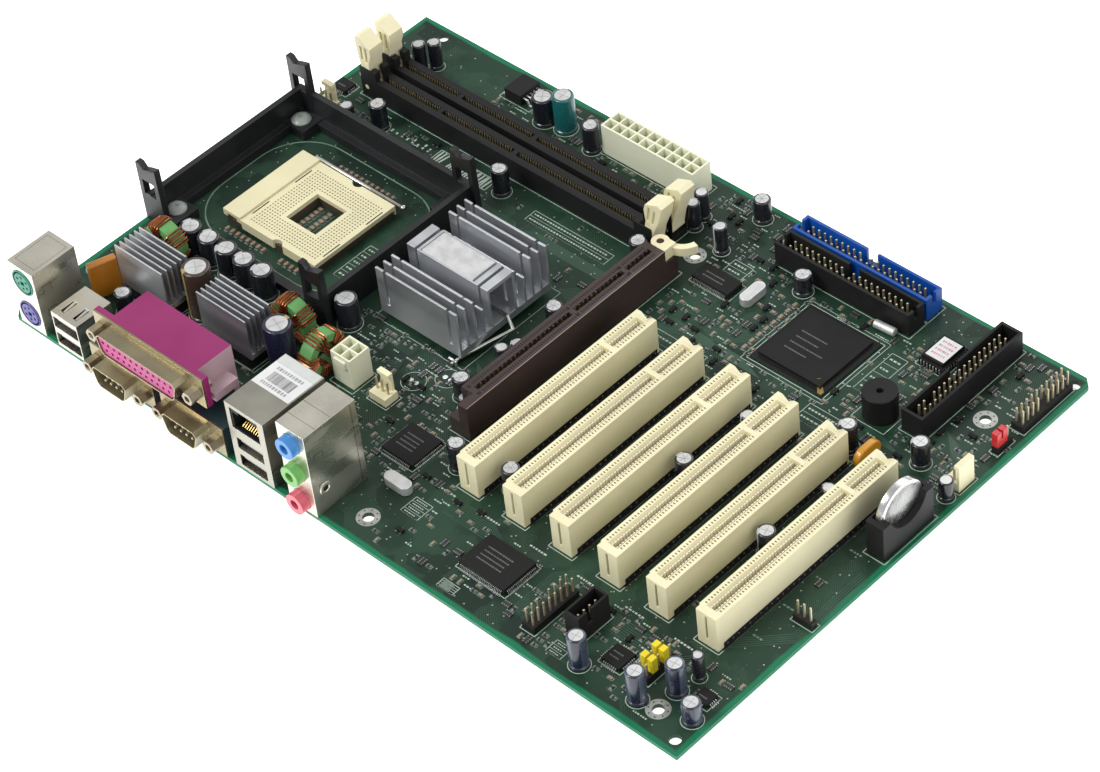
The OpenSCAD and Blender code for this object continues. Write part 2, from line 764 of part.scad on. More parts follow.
// Memory socket on centre line y: body, two end towers with latch pockets, groove and keys.
module dimm_slot(y) {
    w = dimm_hw;
    x1 = dimm_x + dimm_w;
    difference() {
        union() {
            block([dimm_x, y - w, 0], [x1, y + w, dimm_body_h]);
            for (x = [dimm_x, x1 - dimm_end_w])
                block([x, y - w, 0], [x + dimm_end_w, y + w, dimm_end_h]);
        }
        for (side = [0, 1]) translate([side * (2 * dimm_x + dimm_w), 0, 0]) mirror([side, 0, 0]) {
            block([dimm_x - 1, y - latch_hw - latch_gap, 1.4],
                [dimm_x + 5.6, y + latch_hw + latch_gap, dimm_end_h + 1]);
            block([dimm_x + 5, y - 1.7, 1.4], [dimm_x + 9, y + 1.7, 9]);
            rod_y([dimm_x + latch_pivot[0], y - w - 1, latch_pivot[1]], 1, 2 * w + 2);
        }
        block([dimm_x + 4, y - 1.1, 3], [dimm_x + 36.2, y + 1.1, dimm_end_h + 1]);
        block([dimm_x + 38.2, y - 1.1, 3], [dimm_x + 72.5, y + 1.1, dimm_end_h + 1]);
        block([dimm_x + 74.5, y - 1.1, 3], [x1 - 4, y + 1.1, dimm_end_h + 1]);
        block([dimm_x + 12, y - w + 0.7, -1], [x1 - 12, y + w - 0.7, 0.8]);
    }
}

module dimm_slots() {
    color(dark) placed() for (y = dimm_rows) dimm_slot(y);
}

// Rows of contact leaves on both walls of a card groove, inset by a margin at both ends.
module leaf_rows_y(x, s, top, gap) {
    for (side = [-1, 1]) translate([x + side * (gap - leaf_t) / 2 - leaf_t / 2, s[0] + 0.6, 3])
        cube([leaf_t, s[1] - s[0] - 1.2, top - 3]);
}

module leaf_rows_x(y, x0, x1, top) {
    for (s = [-1, 1]) block([x0, y + s * 0.95 - 0.15, 3], [x1, y + s * 0.95 + 0.15, top]);
}

module slot_contacts() {
    color(gold) placed() {
        for (x = slot_xs, s = slot_grooves) leaf_rows_y(x, s, slot_h - 2.2, groove_w);
        for (s = agp_grooves) leaf_rows_y(agp_x, s, agp_h - 2, agp_groove_w);
        for (y = dimm_rows) {
            leaf_rows_x(y, dimm_x + 10, dimm_x + 36, dimm_body_h - 0.8);
            leaf_rows_x(y, dimm_x + 38.4, dimm_x + 72.3, dimm_body_h - 0.8);
            leaf_rows_x(y, dimm_x + 74.7, dimm_x + dimm_w - 10, dimm_body_h - 0.8);
        }
    }
}

// Memory latch about its pivot: lifting foot, stem, head with two finger grooves, pivot stubs.
module latch_shape() {
    outline = [[-1.9, 0], [-1.9, 7.6], [-3.2, 15], [-3.5, 21.4], [-1.6, 21.9], [3.6, 18.2],
        [3.8, 15.6], [2.2, 11], [1.9, 0]];
    difference() {
        union() {
            run_y(outline, -latch_hw, latch_hw);
            rod_y([0, -latch_hw, 0], 2.2, 2 * latch_hw);
            block([0, -1.5, -2.2], [4.6, 1.5, -0.6]);
            rod_y([0, -dimm_hw + 0.05, 0], 0.95, 2 * dimm_hw - 0.1);
        }
        for (s = [-1, 1]) for (x = [-1.5, 0.9])
            block([x, s > 0 ? latch_hw - 0.6 : -latch_hw - 1, 11.5],
                [x + 1.2, s > 0 ? latch_hw + 1 : -latch_hw + 0.6, 18]);
    }
}

module dimm_latch(side, y) {
    x = side > 0 ? dimm_x + dimm_w - latch_pivot[0] : dimm_x + latch_pivot[0];
    color(cream) placed() translate([x, y, latch_pivot[1]])
        rotate([0, side > 0 ? latch_lean : 0, 0]) mirror([side > 0 ? 1 : 0, 0, 0]) latch_shape();
}

module dimm_latch_a_left() {
    dimm_latch(-1, dimm_rows[0]);
}

module dimm_latch_a_right() {
    dimm_latch(1, dimm_rows[0]);
}

module dimm_latch_b_left() {
    dimm_latch(-1, dimm_rows[1]);
}

module dimm_latch_b_right() {
    dimm_latch(1, dimm_rows[1]);
}

// ---------------------------------------------------------------- headers and pins

ide_x = [187.4, 245.2];
ide_y_black = [179.2, 187.3];
ide_y_blue = [188.4, 196.5];
ide_pin_x = 192.2;
ide_floor = 2;
floppy_x = [270, 278.6];
floppy_y = [145.5, 196.5];
floppy_pin = [273.03, 150.7];
pin_top = 8.4;

// Open-top box header; the far wall has the polarising notch.
module drive_header(x, y, pin_x, pin_y) {
    mid = (x[0] + x[1]) / 2;
    difference() {
        block([x[0], y[0], 0], [x[1], y[1], header_h]);
        block([x[0] + 1.1, y[0] + 1, ide_floor], [x[1] - 1.1, y[1] - 1, header_h + 1]);
        block([mid - 2.3, y[1] - 2, 3.4], [mid + 2.3, y[1] + 1, header_h + 1]);
        for (sx = [x[0] - 1, x[1] - 2])
            block([sx, (y[0] + y[1]) / 2 - 1, 5], [sx + 3, (y[0] + y[1]) / 2 + 1, header_h + 1]);
        pins(pin_x, pin_y, 20, 2, header_h, z0 = -1);
    }
}

module ide_header_blue() {
    color([0.12, 0.32, 0.75]) placed()
        drive_header(ide_x, ide_y_blue, ide_pin_x, (ide_y_blue[0] + ide_y_blue[1] - pin_pitch) / 2);
}

module ide_header_black() {
    color(dark) placed()
        drive_header(ide_x, ide_y_black, ide_pin_x,
            (ide_y_black[0] + ide_y_black[1] - pin_pitch) / 2);
}

module floppy_header() {
    mid = (floppy_y[0] + floppy_y[1]) / 2;
    color(dark) placed() difference() {
        block([floppy_x[0], floppy_y[0], 0], [floppy_x[1], floppy_y[1], header_h - 0.3]);
        block([floppy_x[0] + 1, floppy_y[0] + 1.1, ide_floor],
            [floppy_x[1] - 1, floppy_y[1] - 1.1, header_h + 1]);
        block([floppy_x[0] - 1, mid - 2.3, 3.4], [floppy_x[0] + 2, mid + 2.3, header_h + 1]);
        pins(floppy_pin[0], floppy_pin[1], 2, 17, header_h, z0 = -1);
    }
}

panel_pin = [297.8, 168.9];
red_pin = [299.75, 156.6];
yellow_pin = [275.8, 16.4];
game_pin = [235.3, 9.2];
ir_pin = [297.2, 63.8];
cd_box = [[246.5, 14.5, 0], [252.5, 28, 10.5]];
cd_pin = [249.5, 17.4];
base_h = 2.5;
base_pins_top = 7.4;

// Pin header base round an nx by ny grid of pins.
module pin_base(p, nx, ny) {
    m = pin_pitch / 2;
    block([p[0] - m, p[1] - m, 0],
        [p[0] + (nx - 1) * pin_pitch + m, p[1] + (ny - 1) * pin_pitch + m, base_h]);
}

module pin_header_bases() {
    color(dark) placed() difference() {
        union() {
            pin_base(panel_pin, 2, 10);
            pin_base(red_pin, 1, 3);
            pin_base(yellow_pin, 2, 5);
            pin_base(game_pin, 2, 8);
            pin_base(ir_pin, 3, 1);
            difference() {
                block(cd_box[0], cd_box[1]);
                block([cd_box[0][0] + 0.8, cd_box[0][1] + 0.8, base_h],
                    [cd_box[1][0] - 0.8, cd_box[1][1] - 0.8, 12]);
                block([cd_box[1][0] - 2, cd_box[0][1] + 4, 5],
                    [cd_box[1][0] + 1, cd_box[0][1] + 6, 12]);
            }
        }
        board_pins(-1);
    }
}

// Pins of every small header, from z0 up.
module board_pins(z0) {
    pins(panel_pin[0], panel_pin[1], 2, 10, pin_top, [[1, 4]], z0 = z0);
    pins(red_pin[0], red_pin[1], 1, 3, base_pins_top, z0 = z0);
    pins(yellow_pin[0], yellow_pin[1], 2, 5, base_pins_top, z0 = z0);
    pins(game_pin[0], game_pin[1], 2, 8, pin_top, [[0, 3]], z0 = z0);
    pins(ir_pin[0], ir_pin[1], 3, 1, pin_top, z0 = z0);
    pins(cd_pin[0], cd_pin[1], 1, 4, pin_top, z0 = z0);
}

// Middle pin of each fan header, its turn about z and half the width of its plate.
fan_spots = [[129.5, 51, 0, 2.6], [299.1, 138.7, -90, 3.7], [8.6, 141.6, 0, 2.6]];

module connector_pins() {
    color(gold) placed() {
        for (y = [ide_y_black, ide_y_blue])
            pins(ide_pin_x, (y[0] + y[1] - pin_pitch) / 2, 20, 2, pin_top, [[9, 1]]);
        pins(floppy_pin[0], floppy_pin[1], 2, 17, pin_top, [[0, 2]]);
        board_pins(0);
        for (f = fan_spots) translate([f[0], f[1], 0]) rotate([0, 0, f[2]])
            pins(-pin_pitch, 0, 3, 1, pin_top);
        pins(main_power_x0, main_power_y0, main_power_n, 2, 9, [], 1.1, power_pitch, cavity_floor);
        pins(cpu_power_x0, cpu_power_y0, 2, 2, 9, [], 1.1, power_pitch, cavity_floor);
        for (x = serial_xs) d9_pins(x, 0.3);
    }
}

// Three-pin fan header: base with a tall polarising plate and a catch along its top.
module fan_headers() {
    color(cream) placed() for (f = fan_spots)
        translate([f[0], f[1], 0]) rotate([0, 0, f[2]]) difference() {
            union() {
                block([-3.8, -2.9, 0], [3.8, 2.9, 3.2]);
                block([-f[3], 1.9, 0], [f[3], 2.9, 10.8]);
                block([-f[3], 0.8, 9.4], [f[3], 2.9, 10.8]);
            }
            pins(-pin_pitch, 0, 3, 1, pin_top, z0 = -1);
        }
}

jumper_low = base_h + 0.05;
jumper_top = 8.4;
jumper_clear = 0.06;

// Shorting cap over nx by ny pins, with a finger slot across its top.
module jumper(p, nx, ny) {
    m = 1.24;
    c = [p[0] + (nx - 1) * pin_pitch / 2, p[1] + (ny - 1) * pin_pitch / 2];
    slot = nx > ny ? [0.4, 2] : [2, 0.4];
    placed() difference() {
        block([p[0] - m, p[1] - m, jumper_low],
            [p[0] + (nx - 1) * pin_pitch + m, p[1] + (ny - 1) * pin_pitch + m, jumper_top]);
        block([c[0] - slot[0], c[1] - slot[1], jumper_top - 3],
            [c[0] + slot[0], c[1] + slot[1], jumper_top + 1]);
        pins(p[0], p[1], nx, ny, base_pins_top + 0.1, side = pin_side + 2 * jumper_clear);
    }
}

module jumper_red() {
    color([0.80, 0.08, 0.08]) jumper(red_pin, 1, 2);
}

module jumper_yellow_left() {
    color([0.92, 0.80, 0.10]) jumper([yellow_pin[0], yellow_pin[1] + pin_pitch], 2, 1);
}

module jumper_yellow_right() {
    color([0.92, 0.80, 0.10]) jumper([yellow_pin[0], yellow_pin[1] + 3 * pin_pitch], 2, 1);
}

// ---------------------------------------------------------------- battery

holder_x = [295.5, 302.6];
holder_y = [97.7, 122];
holder_h = 14.4;
coin_gap = 0.06;

module battery_holder() {
    r = coin_d / 2 + 0.2;
    color(dark) placed() difference() {
        block([holder_x[0], holder_y[0], 0], [holder_x[1], holder_y[1], holder_h]);
        block([coin_c[0] - coin_t / 2 - 0.5, coin_c[1] - r, coin_c[2] - coin_d / 2 - 0.1],
            [coin_c[0] + coin_t / 2 + coin_gap, coin_c[1] + r, holder_h + 1]);
        rod_x([coin_c[0], coin_c[1], coin_c[2] + 4], 8.6, 10);
    }
}

module battery_spring() {
    x0 = coin_c[0] - coin_t / 2 - 0.5;
    color(gold) placed() union() {
        block([x0, coin_c[1] - 3, 2.3], [x0 + 0.4, coin_c[1] + 3, 13]);
        block([x0, coin_c[1] - 6, 2.3], [x0 + 0.4, coin_c[1] + 6, 4.2]);
    }
}

module coin_cell() {
    color([0.80, 0.80, 0.78]) placed() union() {
        rod_x([coin_c[0] - coin_t / 2, coin_c[1], coin_c[2]], coin_d / 2 - 1, coin_t);
        rod_x([coin_c[0] - coin_t / 2 + 0.3, coin_c[1], coin_c[2]], coin_d / 2, coin_t - 0.3);
    }
}

// ---------------------------------------------------------------- power parts

vrm_sinks = [[[23.2, 31], [46.9, 42.7]], [[62.3, 32.7], [86.2, 44]]];
vrm_low = 4.6;
vrm_base_top = 6.8;
vrm_fins = 6;
vrm_fin_t = 0.6;

module vrm_heatsinks() {
    color([0.80, 0.81, 0.80]) placed() for (s = vrm_sinks) {
        block([s[0][0], s[0][1], vrm_low], [s[1][0], s[1][1], vrm_base_top]);
        pitch = (s[1][1] - s[0][1] - vrm_fin_t) / (vrm_fins - 1);
        for (i = [0:vrm_fins - 1])
            block([s[0][0], s[0][1] + i * pitch, vrm_base_top - 0.5],
                [s[1][0], s[0][1] + i * pitch + vrm_fin_t, vrm_top]);
    }
}

// Moulded power transistor with its metal tab towards +y.
module transistor(x, y, w, d, h) {
    block([x, y, 0], [x + w, y + d - 2, h]);
    block([x, y + d - 2.1, 0], [x + w, y + d, 1.3]);
}

// Surface regulator with its tab towards -x and five bent leads towards +x.
module regulator(x, y) {
    lead = [[9, 2], [9, 2.6], [11.3, 2.6], [12.1, 0.6], [13.2, 0.6], [13.2, 0], [11.6, 0],
        [10.9, 2]];
    block([x + 1.3, y, 0], [x + 9.3, y + 10, 4.4]);
    block([x, y + 0.3, 0], [x + 1.4, y + 9.7, 1.3]);
    for (i = [-2:2]) translate([x, 0, 0]) run_y(lead, y + 4.6 + 1.7 * i, y + 5.4 + 1.7 * i);
}

module power_transistors() {
    color([0.10, 0.10, 0.10]) placed() {
        for (s = vrm_sinks, i = [0, 1])
            transistor(s[0][0] + 1.2 + i * 11.4, s[0][1] + 0.3, 10, 11, vrm_low);
        regulator(53.6, 185.1);
    }
}

choke_t = 5.6;
winding = 0.6;
// Centre of each ring choke and the angle of its axis about z: [x, y, turn].
chokes = [[23.4, 52.2, 0], [85.8, 53.4, 0], [104.8, 48, 90]];
choke_hole = 4.6;

module standing_ring(c) {
    translate([c[0], c[1], choke_z]) rotate([0, 0, c[2]]) rotate([90, 0, 0]) children();
}

module choke_cores() {
    color([0.45, 0.72, 0.45]) placed() for (c = chokes) standing_ring(c)
        rotate_extrude() translate([choke_hole, -choke_t / 2])
            square([choke_r - choke_hole, choke_t]);
}

module choke_windings() {
    color([0.72, 0.40, 0.20]) placed() for (c = chokes, a = [20, 110, 200, 290])
        standing_ring(c) rotate([0, 0, a]) rotate_extrude(angle = 50) difference() {
            translate([choke_hole - winding, -choke_t / 2 - winding])
                square([choke_r - choke_hole + 2 * winding, choke_t + 2 * winding]);
            translate([choke_hole, -choke_t / 2]) square([choke_r - choke_hole, choke_t]);
        }
}

// Base centre, diameter and height of every upright capacitor.
large_cans = concat([[52.6, 41.3, 10, 21.5], [94.4, 39.6, 10, 21.5], [95.3, 68.6, 8, 12]],
    [for (i = [0:4]) [27 + 8.9 * i, 60.4, 8, 12]]);
front_cans = [[30.6, 25.2, 6.3, 9], [23.4, 182.2, 5, 11.5], [19.6, 178, 5, 11.5],
    [31, 146, 6.3, 11], [20, 141, 5, 8], [89.5, 147.8, 6.3, 11], [152, 150.5, 6.3, 11],
    [75.4, 184.3, 8, 11.5], [84.1, 186, 8, 15.5], [99.2, 183.4, 6.3, 11.5],
    [153.1, 181.3, 5, 11.5], [154.2, 175.6, 5, 11.5]];
middle_cans = [[151, 110.5, 6.3, 10], [149.4, 86.9, 4.8, 8], [152, 91.7, 4.8, 8],
    [149.5, 68, 6.3, 9], [153.6, 64.3, 4, 5.2], [169.4, 172.4, 5, 11.5], [170, 193, 6.3, 9.5],
    [204, 174.3, 6.3, 8]];
slot_cans = [[171.2, 44.1, 6.3, 11.5], [191.5, 48, 6.3, 10], [231.5, 85.5, 6.3, 10],
    [272, 78.5, 6.3, 10], [233, 114, 5, 8], [273.8, 105.7, 5, 8], [262.4, 128.6, 6.3, 11]];
right_cans = [[258, 8, 6.3, 13.5], [281, 9, 6.3, 13.5], [288, 19, 6.3, 13], [299, 13.5, 6.3, 8.5],
    [289.6, 27.2, 4, 10.5], [284.5, 137.5, 6.3, 10], [300, 131, 5, 8]];
cans = concat(large_cans, front_cans, middle_cans, slot_cans, right_cans);

// Upright can with the crimp ring near its foot.
module can(c) {
    r = c[2] / 2;
    rod_z([c[0], c[1], 0], r, 1.2);
    rod_z([c[0], c[1], 1.1], r - 0.25, 0.7);
    rod_z([c[0], c[1], 1.7], r, c[3] - 1.7);
}

module capacitors() {
    color([0.12, 0.12, 0.14]) placed() for (c = cans) can(c);
}

module fuses() {
    color([0.80, 0.42, 0.15]) placed() {
        translate([19.6, 26.8, 0]) rotate([0, 0, -19]) block([-1.5, -5.3, 0.8], [1.5, 5.3, 16]);
        block([270.2, 124.9, 0.8], [272.9, 128.6, 8.6]);
        for (y = [124.9, 128.6]) rod_x([270.2, y, 4.7], 3.9, 2.7);
    }
}

// ---------------------------------------------------------------- assembly

circuit_board();
ps2_shell();
keyboard_socket();
mouse_socket();
usb_shell();
usb_inserts();
parallel_housing();
parallel_shell();
serial_housings();
serial_shells();
dsub_jackscrews();
lan_usb_shell();
lan_usb_insert();
audio_shell();
line_in_jack();
line_out_jack();
microphone_jack();
main_power_socket();
cpu_power_socket();
cpu_socket_base();
cpu_socket_cover();
cpu_socket_lever();
cooler_frame();
cooler_rivets();
northbridge_chip();
northbridge_heatsink();
heatsink_clip();
clip_anchors();
agp_slot();
agp_latch();
pci_slots();
dimm_slots();
slot_contacts();
dimm_latch_a_left();
dimm_latch_a_right();
dimm_latch_b_left();
dimm_latch_b_right();
ide_header_blue();
ide_header_black();
floppy_header();
connector_pins();
pin_header_bases();
southbridge_chip();
bios_chip();
leaded_chips();
crystals();
buzzer();
battery_holder();
battery_spring();
coin_cell();
jumper_red();
jumper_yellow_left();
jumper_yellow_right();
power_transistors();
vrm_heatsinks();
choke_cores();
choke_windings();
capacitors();
fan_headers();
fuses();
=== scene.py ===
"""Looks of a desktop computer motherboard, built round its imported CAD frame.

Every piece takes its place from the boxes of the CAD nodes. Board coordinates, used for printed
marks and small parts, are millimetres from the board corner beside the keyboard socket.
"""

import json
import math
import random

import bmesh
import bpy
from mathutils import Matrix, Vector

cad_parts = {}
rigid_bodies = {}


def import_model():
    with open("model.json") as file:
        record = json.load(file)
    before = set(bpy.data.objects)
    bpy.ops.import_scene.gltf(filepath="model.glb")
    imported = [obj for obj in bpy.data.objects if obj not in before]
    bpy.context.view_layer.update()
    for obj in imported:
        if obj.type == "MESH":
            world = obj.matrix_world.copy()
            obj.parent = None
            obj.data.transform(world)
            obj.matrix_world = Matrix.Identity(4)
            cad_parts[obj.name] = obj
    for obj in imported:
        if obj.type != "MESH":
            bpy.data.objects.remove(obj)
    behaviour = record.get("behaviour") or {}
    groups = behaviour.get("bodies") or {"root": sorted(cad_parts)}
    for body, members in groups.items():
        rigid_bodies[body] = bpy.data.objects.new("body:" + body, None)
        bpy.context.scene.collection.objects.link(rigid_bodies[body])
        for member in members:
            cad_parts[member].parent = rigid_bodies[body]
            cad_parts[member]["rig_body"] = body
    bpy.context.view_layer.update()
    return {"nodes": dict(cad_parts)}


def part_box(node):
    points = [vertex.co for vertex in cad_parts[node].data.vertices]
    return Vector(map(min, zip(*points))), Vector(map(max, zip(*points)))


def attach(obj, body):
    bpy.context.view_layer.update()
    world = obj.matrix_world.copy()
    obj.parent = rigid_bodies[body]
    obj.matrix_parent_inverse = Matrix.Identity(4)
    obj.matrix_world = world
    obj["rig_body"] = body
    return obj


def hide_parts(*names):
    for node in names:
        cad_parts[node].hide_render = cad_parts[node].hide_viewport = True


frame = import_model()
NODES = frame["nodes"]
MM = 0.001
INK_LIFT = 0.03  # printed marks above the board
FACE_LIFT = 0.02  # painted marks above the face of a part
CONTACT_PITCH = 1.27  # expansion slots, memory leaves, processor socket and socketed chip
MEMORY_BODY_TOP = 8.6
CAN_SIDES = 40
SHARP_ANGLE = math.radians(34)  # edges sharper than this stay crisp
BEVEL_ANGLE = math.radians(40)  # edges sharper than this are softened
FLAT_ANGLE = math.radians(1.2)  # faces closer than this are joined
VIA_TRIES = 2600
rng = random.Random(11)
board_lo, board_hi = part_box("circuit_board")
BOARD_W = (board_hi.x - board_lo.x) / MM
BOARD_D = (board_hi.y - board_lo.y) / MM
BOARD_T = (board_hi.z - board_lo.z) / MM


def at(x, y, z=0.0):
    """Board millimetres to a point of the row frame."""
    return Vector((board_lo.x + x * MM, board_lo.y + y * MM, board_hi.z + z * MM))


def to_board(p):
    """A point of the row frame in board millimetres."""
    return Vector(((p.x - board_lo.x) / MM, (p.y - board_lo.y) / MM, (p.z - board_hi.z) / MM))


def cad(node):
    """Lowest and highest corner of a CAD node in board millimetres."""
    low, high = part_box(node)
    return to_board(low), to_board(high)


def link(thing):
    bpy.context.scene.collection.objects.link(thing)


def welded(mesh, reach=2e-6):
    """Editable copy of a mesh with its doubled corners joined."""
    bm = bmesh.new()
    bm.from_mesh(mesh)
    bmesh.ops.remove_doubles(bm, verts=bm.verts, dist=reach)
    return bm


def islands(node):
    """Corner pairs of the separate solids of a CAD node, in board millimetres, in a fixed order."""
    bm = welded(NODES[node].data)
    seen, found = set(), []
    for first in bm.verts:
        if first in seen:
            continue
        seen.add(first)
        queue, group = [first], []
        while queue:
            v = queue.pop()
            group.append(to_board(v.co))
            for e in v.link_edges:
                other = e.other_vert(v)
                if other not in seen:
                    seen.add(other)
                    queue.append(other)
        low = Vector([min(p[k] for p in group) for k in range(3)])
        high = Vector([max(p[k] for p in group) for k in range(3)])
        found.append((low, high))
    bm.free()
    return sorted(found, key=lambda b: [round(c, 2) for c in (b[0].x, b[0].y, b[0].z)])


# ---------------------------------------------------------------- materials


def tone(red, green, blue):
    """Screen colour from 0 to 255 as linear light."""
    return tuple(((c / 255 + 0.055) / 1.055) ** 2.4 for c in (red, green, blue)) + (1.0,)


def scaled(colour, share):
    """Darker or lighter copy of a colour."""
    return tuple(min(1.0, c * share) for c in colour[:3]) + (1.0,)


def put(tree, kind, inputs=None, **settings):
    """Adds a shader node, with its settings and its inputs set or linked."""
    node = tree.nodes.new(kind)
    for key, value in settings.items():
        setattr(node, key, value)
    for key, value in (inputs or {}).items():
        if isinstance(value, bpy.types.NodeSocket):
            tree.links.new(value, node.inputs[key])
        else:
            node.inputs[key].default_value = value
    return node


def maths(tree, operation, a, b=0.0):
    return put(tree, "ShaderNodeMath", {0: a, 1: b}, operation=operation).outputs[0]


def ramp(tree, value, low, high, out_low=0.0, out_high=1.0):
    """Smooth step of a value from one range to another."""
    node = put(tree, "ShaderNodeMapRange", {"Value": value, "From Min": low, "From Max": high,
        "To Min": out_low, "To Max": out_high}, interpolation_type="SMOOTHSTEP")
    return node.outputs["Result"]


def mixed(tree, factor, a, b):
    return put(tree, "ShaderNodeMix", {0: factor, 6: a, 7: b}, data_type="RGBA").outputs[2]


def noise(tree, where, scale, detail=3.0):
    node = put(tree, "ShaderNodeTexNoise", {"Vector": where, "Scale": scale, "Detail": detail})
    return node.outputs["Fac"]


def surface(name, colour, rough=0.45, metal=0.0, mottle=0.10, patch=40.0, grain=2500.0,
        relief=0.12, coat=0.0, wear=0.0, stretch=None, soft=0.0, shine=0.5):
    """Principled material with uneven colour, uneven gloss, a fine grain and worn edges."""
    colour = tone(*colour)
    material = bpy.data.materials.new(name)
    material.use_nodes = True
    tree = material.node_tree
    bsdf = tree.nodes["Principled BSDF"]
    where = put(tree, "ShaderNodeTexCoord").outputs["Object"]
    if stretch:
        where = put(tree, "ShaderNodeMapping", {"Vector": where, "Scale": stretch}).outputs[0]
    broad = ramp(tree, noise(tree, where, patch, 5.0), 0.3, 0.7)
    fine = noise(tree, where, grain)
    skin = mixed(tree, broad, scaled(colour, 1 - mottle), scaled(colour, 1 + mottle))
    skin = mixed(tree, ramp(tree, fine, 0.35, 0.65, 0.0, 0.5), skin, scaled(colour, 1 - mottle / 2))
    if wear:
        edge = put(tree, "ShaderNodeBevel", {"Radius": 0.35 * MM}, samples=3).outputs[0]
        flat = put(tree, "ShaderNodeNewGeometry").outputs["Normal"]
        dot = put(tree, "ShaderNodeVectorMath", {0: edge, 1: flat}, operation="DOT_PRODUCT")
        rub = maths(tree, "MULTIPLY", ramp(tree, dot.outputs["Value"], 0.99, 0.85), wear)
        rub = maths(tree, "MULTIPLY", rub, ramp(tree, noise(tree, where, 300.0), 0.35, 0.6))
        skin = mixed(tree, rub, skin, scaled(colour, 1.9) if metal else scaled(colour, 1.6))
    fixed = {"Metallic": metal, "Specular IOR Level": shine, "Coat Weight": coat, "Coat Roughness": 0.15}
    if soft:
        fixed.update({"Subsurface Weight": soft, "Subsurface Scale": 1.0,
            "Subsurface Radius": (0.6 * MM, 0.5 * MM, 0.35 * MM)})
    for key, value in fixed.items():
        bsdf.inputs[key].default_value = value
    bump = put(tree, "ShaderNodeBump", {"Height": fine, "Strength": relief, "Distance": 0.1 * MM})
    tree.links.new(skin, bsdf.inputs["Base Color"])
    gloss = ramp(tree, maths(tree, "ADD", broad, fine), 0.6, 1.4, rough - 0.07, rough + 0.09)
    tree.links.new(gloss, bsdf.inputs["Roughness"])
    tree.links.new(bump.outputs[0], bsdf.inputs["Normal"])
    return material


def board_surface():
    """Solder mask: bright rim, dark copper areas and fine parallel tracks in patches."""
    material = surface("board_mask", (28, 60, 44), 0.5, mottle=0.16, patch=22.0, coat=0.08, shine=0.3)
    tree = material.node_tree
    bsdf = tree.nodes["Principled BSDF"]
    where = put(tree, "ShaderNodeTexCoord").outputs["Object"]
    axes = put(tree, "ShaderNodeSeparateXYZ", {0: where}).outputs
    gaps = [maths(tree, "SUBTRACT", axes[0], board_lo.x), maths(tree, "SUBTRACT", board_hi.x, axes[0]),
        maths(tree, "SUBTRACT", axes[1], board_lo.y), maths(tree, "SUBTRACT", board_hi.y, axes[1])]
    rim = gaps[0]
    for gap in gaps[1:]:
        rim = maths(tree, "MINIMUM", rim, gap)
    wobble = maths(tree, "MULTIPLY", noise(tree, where, 45.0), 2.5 * MM)
    inside = ramp(tree, maths(tree, "SUBTRACT", rim, wobble), 0.0, 1.0 * MM)
    cells = put(tree, "ShaderNodeTexVoronoi", {"Vector": where, "Scale": 75.0}, distance="CHEBYCHEV")
    pick = put(tree, "ShaderNodeSeparateColor", {0: cells.outputs["Color"]}).outputs
    slant = maths(tree, "MULTIPLY", maths(tree, "ADD", axes[0], axes[1]), 0.7071)
    pitch = 0.62 * MM

    def tracks(value):
        wave = maths(tree, "PINGPONG", maths(tree, "DIVIDE", value, pitch), 0.5)
        return ramp(tree, wave, 0.22, 0.3)

    along = tracks(axes[0])
    for limit, value in ((0.33, axes[1]), (0.66, slant)):
        choice = maths(tree, "GREATER_THAN", pick[0], limit)
        along = put(tree, "ShaderNodeMix", {0: choice, 2: along, 3: tracks(value)}).outputs[0]
    along = maths(tree, "MULTIPLY", along, maths(tree, "GREATER_THAN", pick[1], 0.35))
    along = maths(tree, "MULTIPLY", along, ramp(tree, noise(tree, where, 60.0), 0.4, 0.5))
    plane = ramp(tree, noise(tree, where, 16.0, 1.0), 0.42, 0.56)
    skin = mixed(tree, plane, tone(14, 38, 27), tone(24, 54, 38))
    skin = mixed(tree, maths(tree, "MULTIPLY", along, 0.6), skin, tone(52, 82, 62))
    skin = mixed(tree, inside, tone(8, 108, 74), skin)
    tree.links.new(skin, bsdf.inputs["Base Color"])
    step = put(tree, "ShaderNodeBump", {"Height": along, "Strength": 0.25, "Distance": 0.05 * MM})
    tree.links.new(step.outputs[0], bsdf.inputs["Normal"])
    return material


